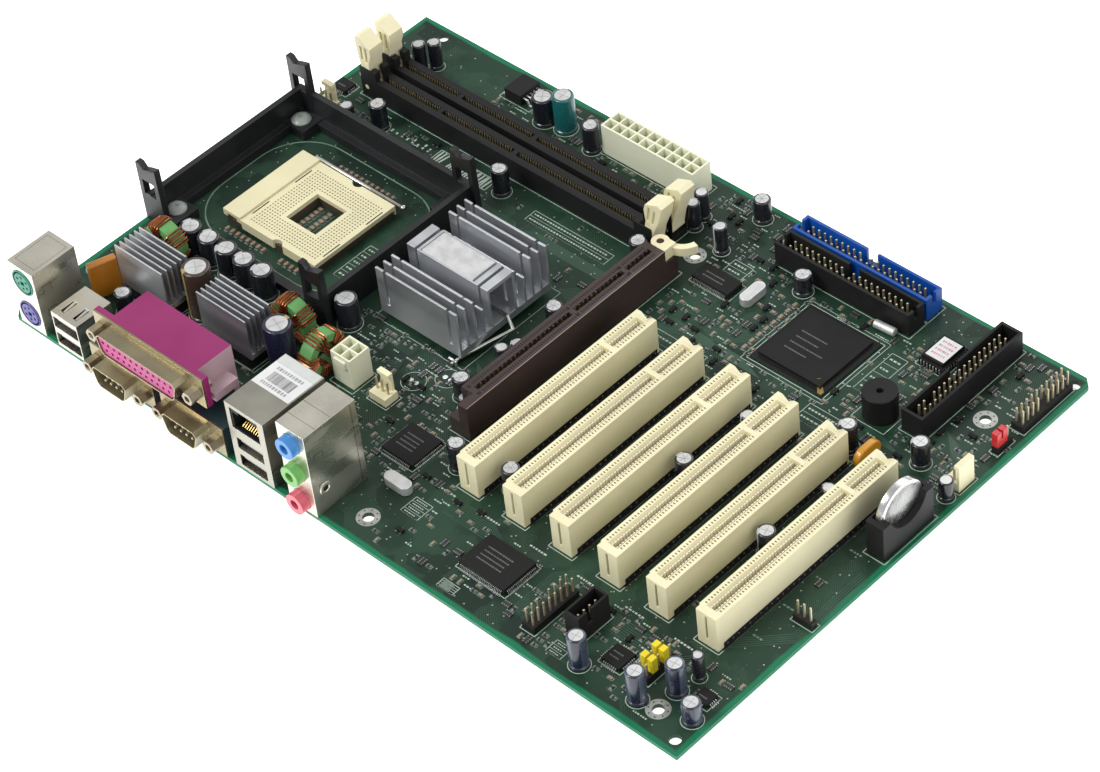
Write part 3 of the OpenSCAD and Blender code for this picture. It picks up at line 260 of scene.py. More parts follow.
MATERIALS = {
    "board": board_surface(),
    "ink": surface("white_ink", (172, 186, 174), 0.6, mottle=0.10, patch=400.0, relief=0.05),
    "ink_dim": surface("thin_ink", (112, 136, 120), 0.6, mottle=0.2, patch=400.0, relief=0.05),
    "track": surface("track_under_mask", (38, 74, 54), 0.4, mottle=0.1, coat=0.25),
    "tin": surface("solder_tin", (200, 202, 200), 0.32, 0.9, mottle=0.15, patch=500.0),
    "pin": surface("tinned_brass", (196, 186, 156), 0.38, 0.75, mottle=0.15, patch=300.0),
    "solder": surface("dull_solder", (150, 151, 148), 0.4, 0.8, mottle=0.2, patch=500.0),
    "pad": surface("tinned_pad", (176, 178, 172), 0.45, 0.75, mottle=0.2, patch=300.0),
    "gold": surface("gold_flash", (192, 160, 96), 0.3, 1.0, mottle=0.15, patch=300.0),
    "nickel": surface("nickel_sheet", (214, 210, 196), 0.30, 0.95, mottle=0.07, patch=45.0,
        grain=1500.0, relief=0.04, stretch=(1, 1, 4), wear=0.3),
    "dull_nickel": surface("dull_nickel_sheet", (172, 170, 158), 0.32, 0.95, mottle=0.08,
        patch=45.0, grain=1500.0, relief=0.04, stretch=(1, 1, 4), wear=0.3),
    "bronze": surface("bronzed_shell", (164, 154, 126), 0.34, 0.95, mottle=0.12, patch=60.0,
        wear=0.3),
    # Contact leaves coloured near-white: a painted highlight in the expansion slot groove.
    "leaf": surface("pale_leaf_painted_highlight", (240, 234, 212), 0.35, 0.2, mottle=0.05),
    "zinc": surface("zinc_screw", (168, 158, 136), 0.35, 0.95, mottle=0.14, patch=200.0),
    "aluminium": surface("extruded_aluminium", (206, 208, 212), 0.36, 0.85, mottle=0.07,
        patch=60.0, stretch=(0.15, 3, 3), wear=0.3),
    "can_top": surface("can_top", (214, 215, 214), 0.38, 0.6, mottle=0.08, patch=300.0),
    "coin": surface("coin_steel", (206, 207, 206), 0.24, 0.95, mottle=0.06, patch=120.0),
    "wire": surface("bright_wire", (200, 200, 196), 0.25, 1.0, mottle=0.08, patch=150.0),
    "copper": surface("enamelled_copper", (158, 88, 46), 0.28, 0.9, mottle=0.2, patch=300.0,
        coat=0.5),
    "purple": surface("purple_plastic", (66, 62, 134), 0.4, soft=0.1),
    "mint": surface("mint_plastic", (22, 124, 100), 0.4, soft=0.1),
    "magenta": surface("magenta_plastic", (136, 34, 94), 0.36, mottle=0.08, wear=0.15),
    "pink": surface("pink_insert", (166, 34, 110), 0.4, soft=0.1),
    "mauve": surface("mauve_plastic", (188, 160, 168), 0.45),
    "teal_black": surface("teal_black_plastic", (34, 58, 62), 0.45, wear=0.2),
    "black": surface("black_plastic", (26, 26, 26), 0.5, mottle=0.14, wear=0.2, shine=0.25),
    "frame_black": surface("frame_plastic", (27, 28, 30), 0.4, mottle=0.18, grain=1400.0,
        relief=0.3, wear=0.5),
    # Flat near-black for painted shade in openings, slits, seams, bores and dimples.
    "dark": surface("painted_recess_shade", (14, 13, 12), 0.7, mottle=0.2),
    "chip": surface("moulded_epoxy", (27, 28, 27), 0.6, mottle=0.10, grain=4000.0, relief=0.25,
        wear=0.1, shine=0.2),
    "chip_mark": surface("chip_mark", (96, 98, 96), 0.6, mottle=0.15, patch=600.0),
    "laminate": surface("chip_laminate", (28, 52, 42), 0.4, coat=0.3),
    "ivory": surface("socket_plastic", (218, 211, 174), 0.42, mottle=0.05, soft=0.15, wear=0.1),
    "cream": surface("slot_plastic", (230, 223, 186), 0.42, mottle=0.05, soft=0.15, wear=0.1),
    "base_brown": surface("socket_base_plastic", (72, 58, 48), 0.45, mottle=0.12, wear=0.2),
    "olive": surface("contact_shadow", (112, 100, 62), 0.6, mottle=0.2, patch=500.0),
    "agp": surface("dark_brown_plastic", (58, 44, 42), 0.42, mottle=0.12, wear=0.4),
    # A lighter brown strip along one top edge of the accelerator slot.
    "agp_edge": surface("light_brown_edge_strip", (160, 136, 124), 0.5),
    "nylon": surface("white_nylon", (226, 228, 202), 0.38, mottle=0.04, soft=0.25),
    "rivet": surface("grey_nylon", (148, 156, 150), 0.35, mottle=0.08, soft=0.3),
    "blue": surface("blue_plastic", (8, 72, 156), 0.4, wear=0.2),
    "red": surface("red_plastic", (196, 30, 34), 0.32, coat=0.3),
    "yellow": surface("yellow_plastic", (222, 204, 30), 0.35, coat=0.2, soft=0.1),
    "choke_green": surface("painted_core", (96, 154, 88), 0.5, mottle=0.12, patch=300.0),
    "sleeve_slate": surface("slate_sleeve", (58, 66, 82), 0.28, coat=0.6),
    "stripe_pale": surface("pale_stripe", (176, 180, 184), 0.3, coat=0.5),
    "stripe_gold": surface("gold_stripe", (166, 142, 84), 0.3, coat=0.5),
    "orange": surface("dipped_orange", (178, 112, 20), 0.35, coat=0.5, mottle=0.15),
    "yellow_orange": surface("dipped_yellow", (200, 138, 26), 0.35, coat=0.5, mottle=0.12),
    "label": surface("paper_label", (214, 214, 214), 0.55, mottle=0.03, patch=300.0),
    "label_dim": surface("pale_label", (196, 198, 196), 0.55, mottle=0.04, patch=300.0),
    "label_grey": surface("grey_print", (150, 152, 152), 0.6, mottle=0.1),
    "label_rose": surface("rose_print", (206, 130, 140), 0.6, mottle=0.15),
    "tan": surface("ceramic_tan", (150, 122, 92), 0.45, mottle=0.15, patch=500.0),
    "smd_black": surface("chip_resistor", (38, 38, 40), 0.4, mottle=0.15, patch=500.0),
}
for shade, colour in (("black", (26, 27, 34)), ("navy", (24, 28, 50)), ("teal", (22, 92, 92)),
        ("brown", (62, 48, 40))):
    MATERIALS["sleeve_" + shade] = surface(shade + "_sleeve", colour, 0.25, coat=0.6)
for shade, colour in (("blue", (52, 122, 186)), ("green", (100, 164, 80)), ("pink", (204, 88, 106))):
    MATERIALS["audio_" + shade] = surface("audio_" + shade, colour, 0.3, coat=0.3)


# ---------------------------------------------------------------- mesh building


class Piece:
    """Collects faces with materials, in board millimetres, and makes one object of them."""

    def __init__(self, name):
        self.name = name
        self.verts, self.faces, self.marks, self.used = [], [], [], []

    def add(self, verts, faces, material):
        start = len(self.verts)
        self.verts += [at(*v) for v in verts]
        self.faces += [[start + i for i in f] for f in faces]
        if material not in self.used:
            self.used.append(material)
        self.marks += [self.used.index(material)] * len(faces)

    def box(self, low, high, material):
        (x0, x1), (y0, y1), (z0, z1) = (sorted(pair) for pair in zip(low, high))
        corners = [(x, y, z) for z in (z0, z1) for y in (y0, y1) for x in (x0, x1)]
        sides = [(0, 2, 3, 1), (4, 5, 7, 6), (0, 1, 5, 4), (2, 6, 7, 3), (0, 4, 6, 2), (1, 3, 7, 5)]
        self.add(corners, sides, material)

    def sheet(self, x0, y0, x1, y1, z, material):
        (x0, x1), (y0, y1) = sorted((x0, x1)), sorted((y0, y1))
        self.add([(x0, y0, z), (x1, y0, z), (x1, y1, z), (x0, y1, z)], [(0, 1, 2, 3)], material)

    def line(self, a, b, width, material, z=INK_LIFT):
        """Flat ribbon on the board from a to b."""
        dx, dy = b[0] - a[0], b[1] - a[1]
        length = math.hypot(dx, dy) or 1.0
        nx, ny = -dy / length * width / 2, dx / length * width / 2
        self.add([(a[0] + nx, a[1] + ny, z), (a[0] - nx, a[1] - ny, z),
            (b[0] - nx, b[1] - ny, z), (b[0] + nx, b[1] + ny, z)], [(0, 1, 2, 3)], material)

    def outline(self, x0, y0, x1, y1, material="ink", width=0.22, z=INK_LIFT):
        corners = [(x0, y0), (x1, y0), (x1, y1), (x0, y1)]
        for k in range(4):
            self.line(corners[k], corners[(k + 1) % 4], width, material, z)

    def outline_round(self, low, high, gap, width=0.22):
        """Printed line round the footprint of a part."""
        self.outline(low.x - gap, low.y - gap, high.x + gap, high.y + gap, width=width)

    def ring(self, x, y, inner, outer, z, material, segments=32, share=1.0, start=0.0):
        """Flat ring, or a share of one."""
        points, faces = [], []
        count = max(3, round(segments * share))
        for i in range(count + 1):
            a = start + 2 * math.pi * share * i / count
            points += [(x + r * math.cos(a), y + r * math.sin(a), z) for r in (inner, outer)]
            if i:
                faces.append((2 * i - 2, 2 * i - 1, 2 * i + 1, 2 * i))
        self.add(points, faces, material)

    def lathe(self, centre, axis, profile, materials, segments=32, stripe=None):
        """Turned body: profile lists (radius, distance along the axis); one material per span."""
        side = {"x": (1, 2, 0), "y": (0, 2, 1), "z": (0, 1, 2)}[axis]
        rings = []
        for radius, along in profile:
            loop = []
            for i in range(segments):
                a = 2 * math.pi * i / segments
                p = [0.0, 0.0, 0.0]
                p[side[0]] = centre[side[0]] + radius * math.cos(a)
                p[side[1]] = centre[side[1]] + radius * math.sin(a)
                p[side[2]] = centre[side[2]] + along
                loop.append(tuple(p))
            rings.append(loop)
        for k in range(len(rings) - 1):
            span = materials[k] if isinstance(materials, (list, tuple)) else materials
            for i in range(segments):
                j = (i + 1) % segments
                chosen = stripe[0] if stripe and span == stripe[1] and i in stripe[2] else span
                quad = [rings[k][i], rings[k][j], rings[k + 1][j], rings[k + 1][i]]
                if axis == "y":
                    quad.reverse()
                self.add(quad, [(0, 1, 2, 3)], chosen)

    def tube(self, path, radius, material, sides=6, closed=False):
        """Round wire along a list of points."""
        points = [Vector(p) for p in path]
        count = len(points)
        loops, lean = [], None
        for i, p in enumerate(points):
            before = points[i - 1] if i or closed else p
            after = points[(i + 1) % count] if i < count - 1 or closed else p
            ahead = (after - before).normalized()
            if lean is None:
                lean = ahead.orthogonal().normalized()
            lean = (lean - ahead * lean.dot(ahead)).normalized()
            other = ahead.cross(lean)
            loops.append([p + radius * (lean * math.cos(2 * math.pi * k / sides)
                + other * math.sin(2 * math.pi * k / sides)) for k in range(sides)])
        verts = [tuple(v) for loop in loops for v in loop]
        faces = []
        for i in range(count if closed else count - 1):
            j = (i + 1) % count
            for k in range(sides):
                m = (k + 1) % sides
                faces.append((i * sides + k, i * sides + m, j * sides + m, j * sides + k))
        if not closed:
            faces += [tuple(reversed(range(sides))), tuple(range((count - 1) * sides, count * sides))]
        self.add(verts, faces, material)

    def make(self, body="board", node=None, weld=False, bevel=0.0):
        mesh = bpy.data.meshes.new(self.name)
        mesh.from_pydata([tuple(v) for v in self.verts], [], self.faces)
        for name in self.used:
            mesh.materials.append(MATERIALS[name])
        mesh.polygons.foreach_set("material_index", self.marks)
        if weld:
            bm = welded(mesh, 1e-6)
            bm.to_mesh(mesh)
            bm.free()
        return finished(mesh, self.name, body, node, bevel)


def finished(mesh, name, body, node, bevel, segments=2):
    """Links a mesh as a piece: smooth with sharp edges, softened edges, riding on its body.

    node, when given, is the CAD node that the piece is shown in place of.
    """
    mesh.polygons.foreach_set("use_smooth", [True] * len(mesh.polygons))
    mesh.set_sharp_from_angle(angle=SHARP_ANGLE)
    piece = bpy.data.objects.new(name, mesh)
    link(piece)
    if bevel:
        soften = piece.modifiers.new("edges", "BEVEL")
        soften.width = bevel * MM
        soften.segments = segments
        soften.limit_method = "ANGLE"
        soften.angle_limit = BEVEL_ANGLE
        soften.harden_normals = True
    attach(piece, body)
    if node:
        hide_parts(node)
    return piece


def body_of(node):
    return NODES[node]["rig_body"]


def refined(node, material, bevel=0.2, segments=2, paint=None):
    """Copy of a CAD node with welded faces and softened edges, shown in the node's place.

    paint, when given, is a list of (material, test) pairs: test gets a face's centre in board
    millimetres and its normal, and the first test that holds gives the face its material.
    """
    mesh = NODES[node].data.copy()
    mesh.materials.clear()
    for name in [material] + [entry[0] for entry in paint or []]:
        mesh.materials.append(MATERIALS[name])
    bm = welded(mesh)
    bmesh.ops.dissolve_limit(bm, angle_limit=FLAT_ANGLE, verts=bm.verts, edges=bm.edges)
    for face in bm.faces:
        face.material_index = 0
        for k, (_, test) in enumerate(paint or []):
            if test(to_board(face.calc_center_median()), face.normal):
                face.material_index = k + 1
                break
    bm.to_mesh(mesh)
    bm.free()
    return finished(mesh, node + "_finish", body_of(node), node, bevel, segments)


def refine_each(bevel, **materials):
    """Refines several nodes, given with their materials, that share one edge width."""
    for node, material in materials.items():
        refined(node, material, bevel)


# ---------------------------------------------------------------- circuit board

# Centres of the screw holes, of those near the left edge, and of the plain tooling holes.
HOLES = [(163.83, 10.16), (288.29, 10.16), (163.83, 165.1), (288.29, 165.1)]
EDGE_HOLES = [(6.35, 33.02), (6.35, 165.1)]
TOOLING_HOLES = [(300, 4.75), (300.8, 194.9), (13.8, 195)]
taken = []


def reserve(x0, y0, x1, y1):
    """Marks a part of the board as taken."""
    taken.append((min(x0, x1), min(y0, y1), max(x0, x1), max(y0, y1)))


def is_free(x0, y0, x1, y1, gap=0.3):
    """Whether a place lies on the board and clear of everything that is taken."""
    if x0 < 2 or y0 < 2 or x1 > BOARD_W - 2 or y1 > BOARD_D - 2:
        return False
    return all(x1 + gap < a or x0 - gap > c or y1 + gap < b or y0 - gap > d for a, b, c, d in taken)


def reserve_footprints():
    """Marks the places of every CAD solid that stands on the board."""
    whole = ("northbridge_heatsink", "cpu_socket_base", "cpu_socket_cover")
    above = ("circuit_board", "cooler_frame", "heatsink_clip", "connector_pins", "slot_contacts")
    for node in NODES:
        if node in above:
            continue
        for low, high in [cad(node)] if node in whole else islands(node):
            reserve(low.x, low.y, high.x, high.y)
    low, high = cad("cooler_frame")
    wide_wall, wall = 8, 5
    for x0, x1 in ((low.x, low.x + wide_wall), (high.x - wall, high.x)):
        reserve(x0, low.y, x1, high.y)
    for y0, y1 in ((low.y, low.y + wide_wall), (high.y - wall, high.y)):
        reserve(low.x, y0, high.x, y1)
    for places, reach in ((HOLES + EDGE_HOLES, 4.4), (TOOLING_HOLES, 2.4)):
        for x, y in places:
            reserve(x - reach, y - reach, x + reach, y + reach)


def dashes(art, x, y, length, size=1.0, upright=False, material="ink_dim"):
    """A row of short bars, standing for printed marks."""
    done = 0.0
    while done < length:
        bar = rng.uniform(0.45, 1.0) * size
        ends = [(x, y + far) if upright else (x + far, y) for far in (done, done + bar)]
        art.line(*ends, 0.55 * size, material)
        done += bar + 0.35 * size


def rounded(art, x0, y0, x1, y1, r, width=0.5):
    """Rounded outline in thin ink."""
    corners = [(x1 - r, y1 - r), (x0 + r, y1 - r), (x0 + r, y0 + r), (x1 - r, y0 + r)]
    for k, (x, y) in enumerate(corners):
        art.ring(x, y, r - width / 2, r + width / 2, INK_LIFT, "ink_dim", 48, 0.25, k * math.pi / 2)
    for y in (y0, y1):
        art.line((x0 + r, y), (x1 - r, y), width, "ink_dim")
    for x in (x0, x1):
        art.line((x, y0 + r), (x, y1 - r), width, "ink_dim")


def build_board():
    refined("circuit_board", "board", bevel=0.15)
    art = Piece("printed_marks")
    for node in ("pci_slots", "dimm_slots", "ide_header_blue", "ide_header_black", "floppy_header",
            "main_power_socket", "cpu_power_socket", "southbridge_chip", "bios_chip", "leaded_chips",
            "fan_headers", "buzzer", "power_transistors", "vrm_heatsinks", "agp_slot", "battery_holder"):
        for low, high in islands(node):
            art.outline_round(low, high, 0.8, 0.3)
    for low, high in islands("pin_header_bases"):
        art.outline_round(low, high, 0.6, 0.3)
    for low, high in islands("capacitors"):
        middle, radius = (low + high) / 2, (high.x - low.x) / 2
        art.ring(middle.x, middle.y, radius + 0.35, radius + 0.65, INK_LIFT, "ink")
    low, high = cad("cooler_frame")
    rounded(art, low.x + 8, low.y + 9, high.x - 7, high.y - 7, 20)
    art.outline_round(*cad("southbridge_chip"), 2.2)
    art.outline_round(*cad("northbridge_heatsink"), 2)
    for low, high in islands("pci_slots"):
        dashes(art, low.x - 5.4, low.y - 4.2, 7, 1.2, material="ink")
        dashes(art, low.x - 2.6, low.y + 8, 7, 1.4, True, "ink")
        for k in range(5):
            dashes(art, high.x + rng.uniform(2, 4), low.y + 12 + 15 * k, rng.uniform(2, 6), 1.2)
    print_tables(art)
    art.make()
    pads = Piece("hole_pads")
    for x, y in HOLES + EDGE_HOLES:
        for z in (INK_LIFT, -BOARD_T - INK_LIFT):
            pads.ring(x, y, 1.98, 4.0, z, "pad", 40)
        for k in range(8):
            a = math.pi * (k + 0.5) / 4
            pads.ring(x + 3.1 * math.cos(a), y + 3.1 * math.sin(a), 0.0, 0.32, INK_LIFT * 2, "track", 8)
    for x, y in ((130.5, 62.5), (138.5, 70.5)):
        pads.ring(x, y, 0.0, 0.9, INK_LIFT, "tin", 12)
        pads.ring(x + 2.5, y, 0.0, 0.9, INK_LIFT, "tin", 12)
        pads.ring(x + 1.25, y, 4.2, 4.45, INK_LIFT, "ink")
    pads.make()


def print_tables(art):
    """Ruled boxes with rows of dashes, where the board has its printed tables."""
    # Each table: corner, corner, rows.
    tables = [(18.5, 184.5, 49.5, 199, 3), (105.5, 142.5, 142.5, 148, 2), (272, 151, 279.5, 155, 1),
        (281.5, 169, 287, 190, 5), (176, 165.5, 184, 172, 2), (246, 150, 252.5, 170, 4),
        (169.6, 18.8, 177, 26.2, 4), (201, 3.4, 208, 7, 4), (246, 5.5, 252, 11, 3),
        (254, 92, 262, 96, 3), (236, 97, 244, 101, 3), (73, 82, 80.5, 100, 5),
        (160, 182, 183, 190, 2), (214, 16, 230, 24, 2), (236, 18, 244, 30, 3),
        (282, 40, 292, 50, 2), (174, 126, 200, 131, 1), (240, 128, 256, 136, 2)]
    for k in range(20):
        x = 58.5 + 1.25 * k
        if not 61.5 < x < 64:
            art.line((x, 144.9), (x + 0.4 * (k % 3), 150.3), 0.75, "ink")
    art.outline(57.3, 144.6, 84, 150.6, width=0.35)
    reserve(57, 144, 84.5, 151)
    for k in range(9):
        dashes(art, 33 + 2.6 * k, 146.6, 1.5, 1.5, True, "ink")
    for x0, y0, x1, y1, rows in tables:
        if not is_free(x0, y0, x1, y1, 0):
            continue
        art.outline(x0, y0, x1, y1)
        step = (y1 - y0) / rows
        for k in range(rows):
            art.line((x0, y0 + k * step), (x1, y0 + k * step), 0.15, "ink")
            dashes(art, x0 + 1, y0 + (k + 0.5) * step, (x1 - x0) - 3, min(1.3, step * 0.4), material="ink")
        reserve(x0, y0, x1, y1)


# ---------------------------------------------------------------- small parts on the board


def turned(upright, along, across):
    """A length and a width, or an offset, as x and y of a part that may stand along y."""
    return (across, along) if upright else (along, across)


def chip_part(parts, x, y, length, width, height, body, upright):
    """Two-ended surface part: body between tinned ends, on its pads."""
    end = length * 0.22

    def spot(a0, b0, a1, b1, z0, z1, material):
        (px, py), (qx, qy) = turned(upright, a0, b0), turned(upright, a1, b1)
        parts.box((x + px, y + py, z0), (x + qx, y + qy, z1), material)

    half, side = length / 2, width / 2
    spot(-half + end, -side, half - end, side, 0, height, body)
    for s in (-1, 1):
        spot(s * half, -side, s * (half - end), side, 0, height + 0.02, "solder")
        spot(s * (half + 0.3), -side - 0.08, s * (half - end), side + 0.08, 0, 0.06, "solder")


def array_part(parts, x, y, upright):
    """Four-in-one resistor chip with tinned edge contacts."""
    long, wide = 1.6, 0.75
    a, b = turned(upright, long, wide)
    parts.box((x - a, y - b, 0), (x + a, y + b, 0.5), "smd_black")
    for k in range(4):
        shift = (k - 1.5) * 0.8
        for s in (-1, 1):
            a, b = turned(upright, shift, s * wide)
            parts.box((x + a - 0.22, y + b - 0.22, 0), (x + a + 0.22, y + b + 0.22, 0.52), "solder")


def leg_part(parts, x, y, upright):
    """Small three-legged part."""
    a, b = turned(upright, 1.45, 0.7)
    parts.box((x - a, y - b, 0.15), (x + a, y + b, 1.0), "chip")
    for along, across in ((-0.95, -1), (0.95, -1), (0, 1)):
        a, b = turned(upright, along, across)
        parts.box((x + a - 0.25, y + b - 0.25, 0), (x + a + 0.25, y + b + 0.25, 0.3), "solder")


def part_rows(parts, art):
    """Even rows of decoupling parts in and round the processor socket and near the chipset."""
    # First place, steps, counts along x and y, and whether the parts stand along y.
    rows = [((46.4, 91.2), (4.6, 2.1), (3, 6), False), ((36, 121.4), (2.6, 1), (11, 1), True),
        ((27.5, 75), (2.6, 1), (8, 1), True), ((54.6, 75), (2.6, 1), (4, 1), True),
        ((97.6, 84), (1, 3.6), (1, 10), True), ((106, 125.4), (3.4, 1), (8, 1), False),
        ((174.6, 60), (1, 7.5), (1, 8), True), ((206.5, 142), (1, 3.6), (1, 8), True)]
    for (x0, y0), (dx, dy), (nx, ny), upright in rows:
        for i in range(nx):
            for j in range(ny):
                x, y = x0 + i * dx, y0 + j * dy
                chip_part(parts, x, y, 2.0, 1.2, 0.9, "tan", upright)
                a, b = turned(upright, 1.4, 0.8)
                art.outline(x - a, y - b, x + a, y + b, "ink_dim", 0.14)
                reserve(x - a, y - b, x + a, y + b)


def scatter_parts():
    """Rows of small parts, their printed outlines, and vias, on the free places of the board."""
    parts, art, vias = Piece("surface_parts"), Piece("part_outlines"), Piece("vias")
    part_rows(parts, art)
    # Each zone: corner, corner, share of places filled.
    zones = [((2, 138, 60, 156), 0.35), ((60, 140, 165, 153), 0.14), ((50, 172, 104, 199), 0.5),
        ((100, 174, 158, 184), 0.75), ((148, 186, 172, 199), 0.55), ((158, 168, 188, 199), 0.5),
        ((166, 122, 208, 180), 0.65), ((188, 165, 262, 178), 0.6), ((206, 126, 262, 178), 0.55),
        ((244, 138, 300, 178), 0.45), ((246, 124, 302, 146), 0.5), ((278, 146, 303, 198), 0.45),
        ((132, 26, 172, 78), 0.5), ((160, 28, 200, 40), 0.2), ((154, 4, 200, 34), 0.22),
        ((196, 8, 236, 34), 0.4), ((232, 4, 304, 34), 0.55), ((104, 28, 134, 78), 0.45),
        ((92, 56, 112, 78), 0.4), ((64, 20, 104, 62), 0.3), ((20, 44, 60, 60), 0.4),
        ((92, 122, 152, 136), 0.12), ((142, 76, 156, 134), 0.25), ((94, 78, 101, 122), 0.35),
        ((166, 40, 304, 122), 0.05), ((2, 160, 12, 198), 0.3), ((8, 64, 24, 130), 0.05)]
    bodies = ["tan", "smd_black", "smd_black", "tan", "smd_black"]
    pitch_x, pitch_y = 3.0, 2.5
    for (x0, y0, x1, y1), filled in zones:
        y = y0 + 1.0
        while y < y1:
            x = x0 + 1.0
            while x < x1:
                x += pitch_x
                chance, upright, shade = rng.random(), rng.random() < 0.5, rng.choice(bodies)
                if chance > filled:
                    continue
                kind = rng.random()
                if kind < 0.60:
                    a, b = turned(upright, 1.1, 0.6)
                elif kind < 0.74:
                    a, b = turned(upright, 1.7, 1.0)
                elif kind < 0.84:
                    a, b = turned(upright, 1.6, 1.4)
                else:
                    a, b = 1.3, 0.45
                if not is_free(x - a, y - b, x + a, y + b):
                    continue
                reserve(x - a, y - b, x + a, y + b)
                if kind < 0.60:
                    chip_part(parts, x, y, 1.6, 0.85, 0.5, shade, upright)
                    art.outline(x - a - 0.1, y - b - 0.1, x + a + 0.1, y + b + 0.1, "ink_dim", 0.14)
                elif kind < 0.74:
                    array_part(parts, x, y, upright)
                elif kind < 0.84:
                    leg_part(parts, x, y, upright)
                else:
                    dashes(art, x - 1.2, y, 2.4, 1.0, material="ink")
            y += pitch_y
    for _ in range(VIA_TRIES):
        x, y = rng.uniform(3, BOARD_W - 3), rng.uniform(3, BOARD_D - 3)
        if is_free(x - 0.3, y - 0.3, x + 0.3, y + 0.3, 0.1):
            vias.ring(x, y, 0.0, 0.28, INK_LIFT, "pad" if rng.random() < 0.55 else "track", 8)
    parts.make()
    art.make()
    vias.make()


def bus_tracks():
    """Bundles of parallel tracks between the main chips and slots, a little above the mask."""
    art = Piece("track_bundles")
    # Each bundle: points of its first track, count, spacing.
    bundles = [([(88, 139.5), (104, 139.5), (112, 131)], 14, 0.8),
        ([(96, 124), (112, 140), (150, 140)], 18, 0.7),
        ([(139, 124), (153, 138), (153, 152)], 12, 0.7), ([(142, 82), (150, 74), (150, 62)], 10, 0.8),
        ([(168, 126), (180, 138), (209, 138)], 16, 0.7), ([(190, 140), (208, 158), (208, 166)], 12, 0.7),
        ([(245, 128), (256, 139), (268, 139)], 12, 0.8), ([(178, 34), (196, 34), (204, 30)], 10, 0.8),
        ([(226, 12), (226, 30), (232, 36)], 10, 0.8), ([(246, 30), (280, 30), (286, 36)], 8, 0.9),
        ([(170, 66), (170, 100), (176, 106)], 5, 0.8), ([(278, 36), (300, 58), (300, 90)], 8, 0.9),
        ([(290, 128), (290, 146), (283, 153)], 8, 0.8), ([(12, 58), (12, 44), (20, 36)], 8, 0.8),
        ([(100, 62), (116, 62), (122, 68)], 12, 0.8), ([(190, 124.5), (296, 124.5), (303, 117)], 6, 0.7)]
    for points, count, gap in bundles:
        for k in range(count):
            moved = [(x + k * gap * 0.35, y - k * gap) if points[0][1] == points[1][1] else
                (x + k * gap, y - k * gap * 0.35) for x, y in points]
            for a, b in zip(moved, moved[1:]):
                if min(a[0], b[0]) > 1 and max(a[0], b[0]) < BOARD_W - 1:
                    art.line(a, b, 0.26, "track", z=INK_LIFT / 2)
    art.make()


def underside():
    """Soldered tails under the pins, cans, slots and rear shells."""
    solder = Piece("solder_joints")

    def joint(x, y, radius=0.75):
        profile = [(radius, 0), (radius * 0.7, -0.3), (0.3, -0.65), (0.01, -0.7)]
        solder.lathe((x, y, -BOARD_T), "z", profile, "tin", 8)

    for low, high in islands("connector_pins"):
        if high.z - low.z > 4 and low.y > 5:
            joint((low.x + high.x) / 2, (low.y + high.y) / 2)
    for low, high in islands("capacitors"):
        middle, gap = (low + high) / 2, (high.x - low.x) / 4
        joint(middle.x - gap, middle.y, 1.0)
        joint(middle.x + gap, middle.y, 1.0)
    for low, high in islands("pci_slots"):
        middle = (low.x + high.x) / 2
        for k in range(31):
            for shift in (-2.2, -0.8, 0.8, 2.2):
                back = CONTACT_PITCH if abs(shift) < 1 else 0
                joint(middle + shift, low.y + 6 + k * 2 * CONTACT_PITCH - back, 0.55)
    for low, high in islands("dimm_slots"):
        middle = (low.y + high.y) / 2
        for k in range(92):
            joint(low.x + 10 + k * 1.32, middle + (2.4 if k % 2 else 0.9), 0.5)
            joint(low.x + 10 + k * 1.32, middle - (0.9 if k % 2 else 2.4), 0.5)
    low, high = cad("agp_slot")
    for k in range(42):
        for shift in (-2.4, -0.9, 0.9, 2.4):
            joint((low.x + high.x) / 2 + shift, low.y + 8 + k * 2, 0.5)
    for node in ("ps2_shell", "usb_shell", "parallel_housing", "lan_usb_shell", "audio_shell"):
        low, high = cad(node)
        for x in (low.x + 1.5, high.x - 1.5):
            for y in (max(low.y, 3) + 1, high.y - 2):
                joint(x, y, 1.4)
    solder.make()


# ---------------------------------------------------------------- rear sockets


def sheet_seams(node, top_tabs):
    """Fold lines across the top of a sheet metal shell and the cut tabs of its right side, in painted shade.
    """
    low, high = cad(node)
    trim = Piece(node + "_folds")
    for y in top_tabs:
        trim.sheet(low.x + 0.1, y, high.x - 0.1, y + 0.12, high.z + FACE_LIFT, "dark")
    for z in (0.25, 0.62):
        height = high.z * z
        for y0, y1, z0, z1 in ((3, 3.12, 0, 3.4), (3, 6.4, 3.4, 3.52), (6.4, 6.52, 0, 3.52)):
            trim.box((high.x - 0.01, low.y + y0, height + z0),
                (high.x + 0.04, low.y + y1, height + z1), "dark")
    trim.make(body_of(node))


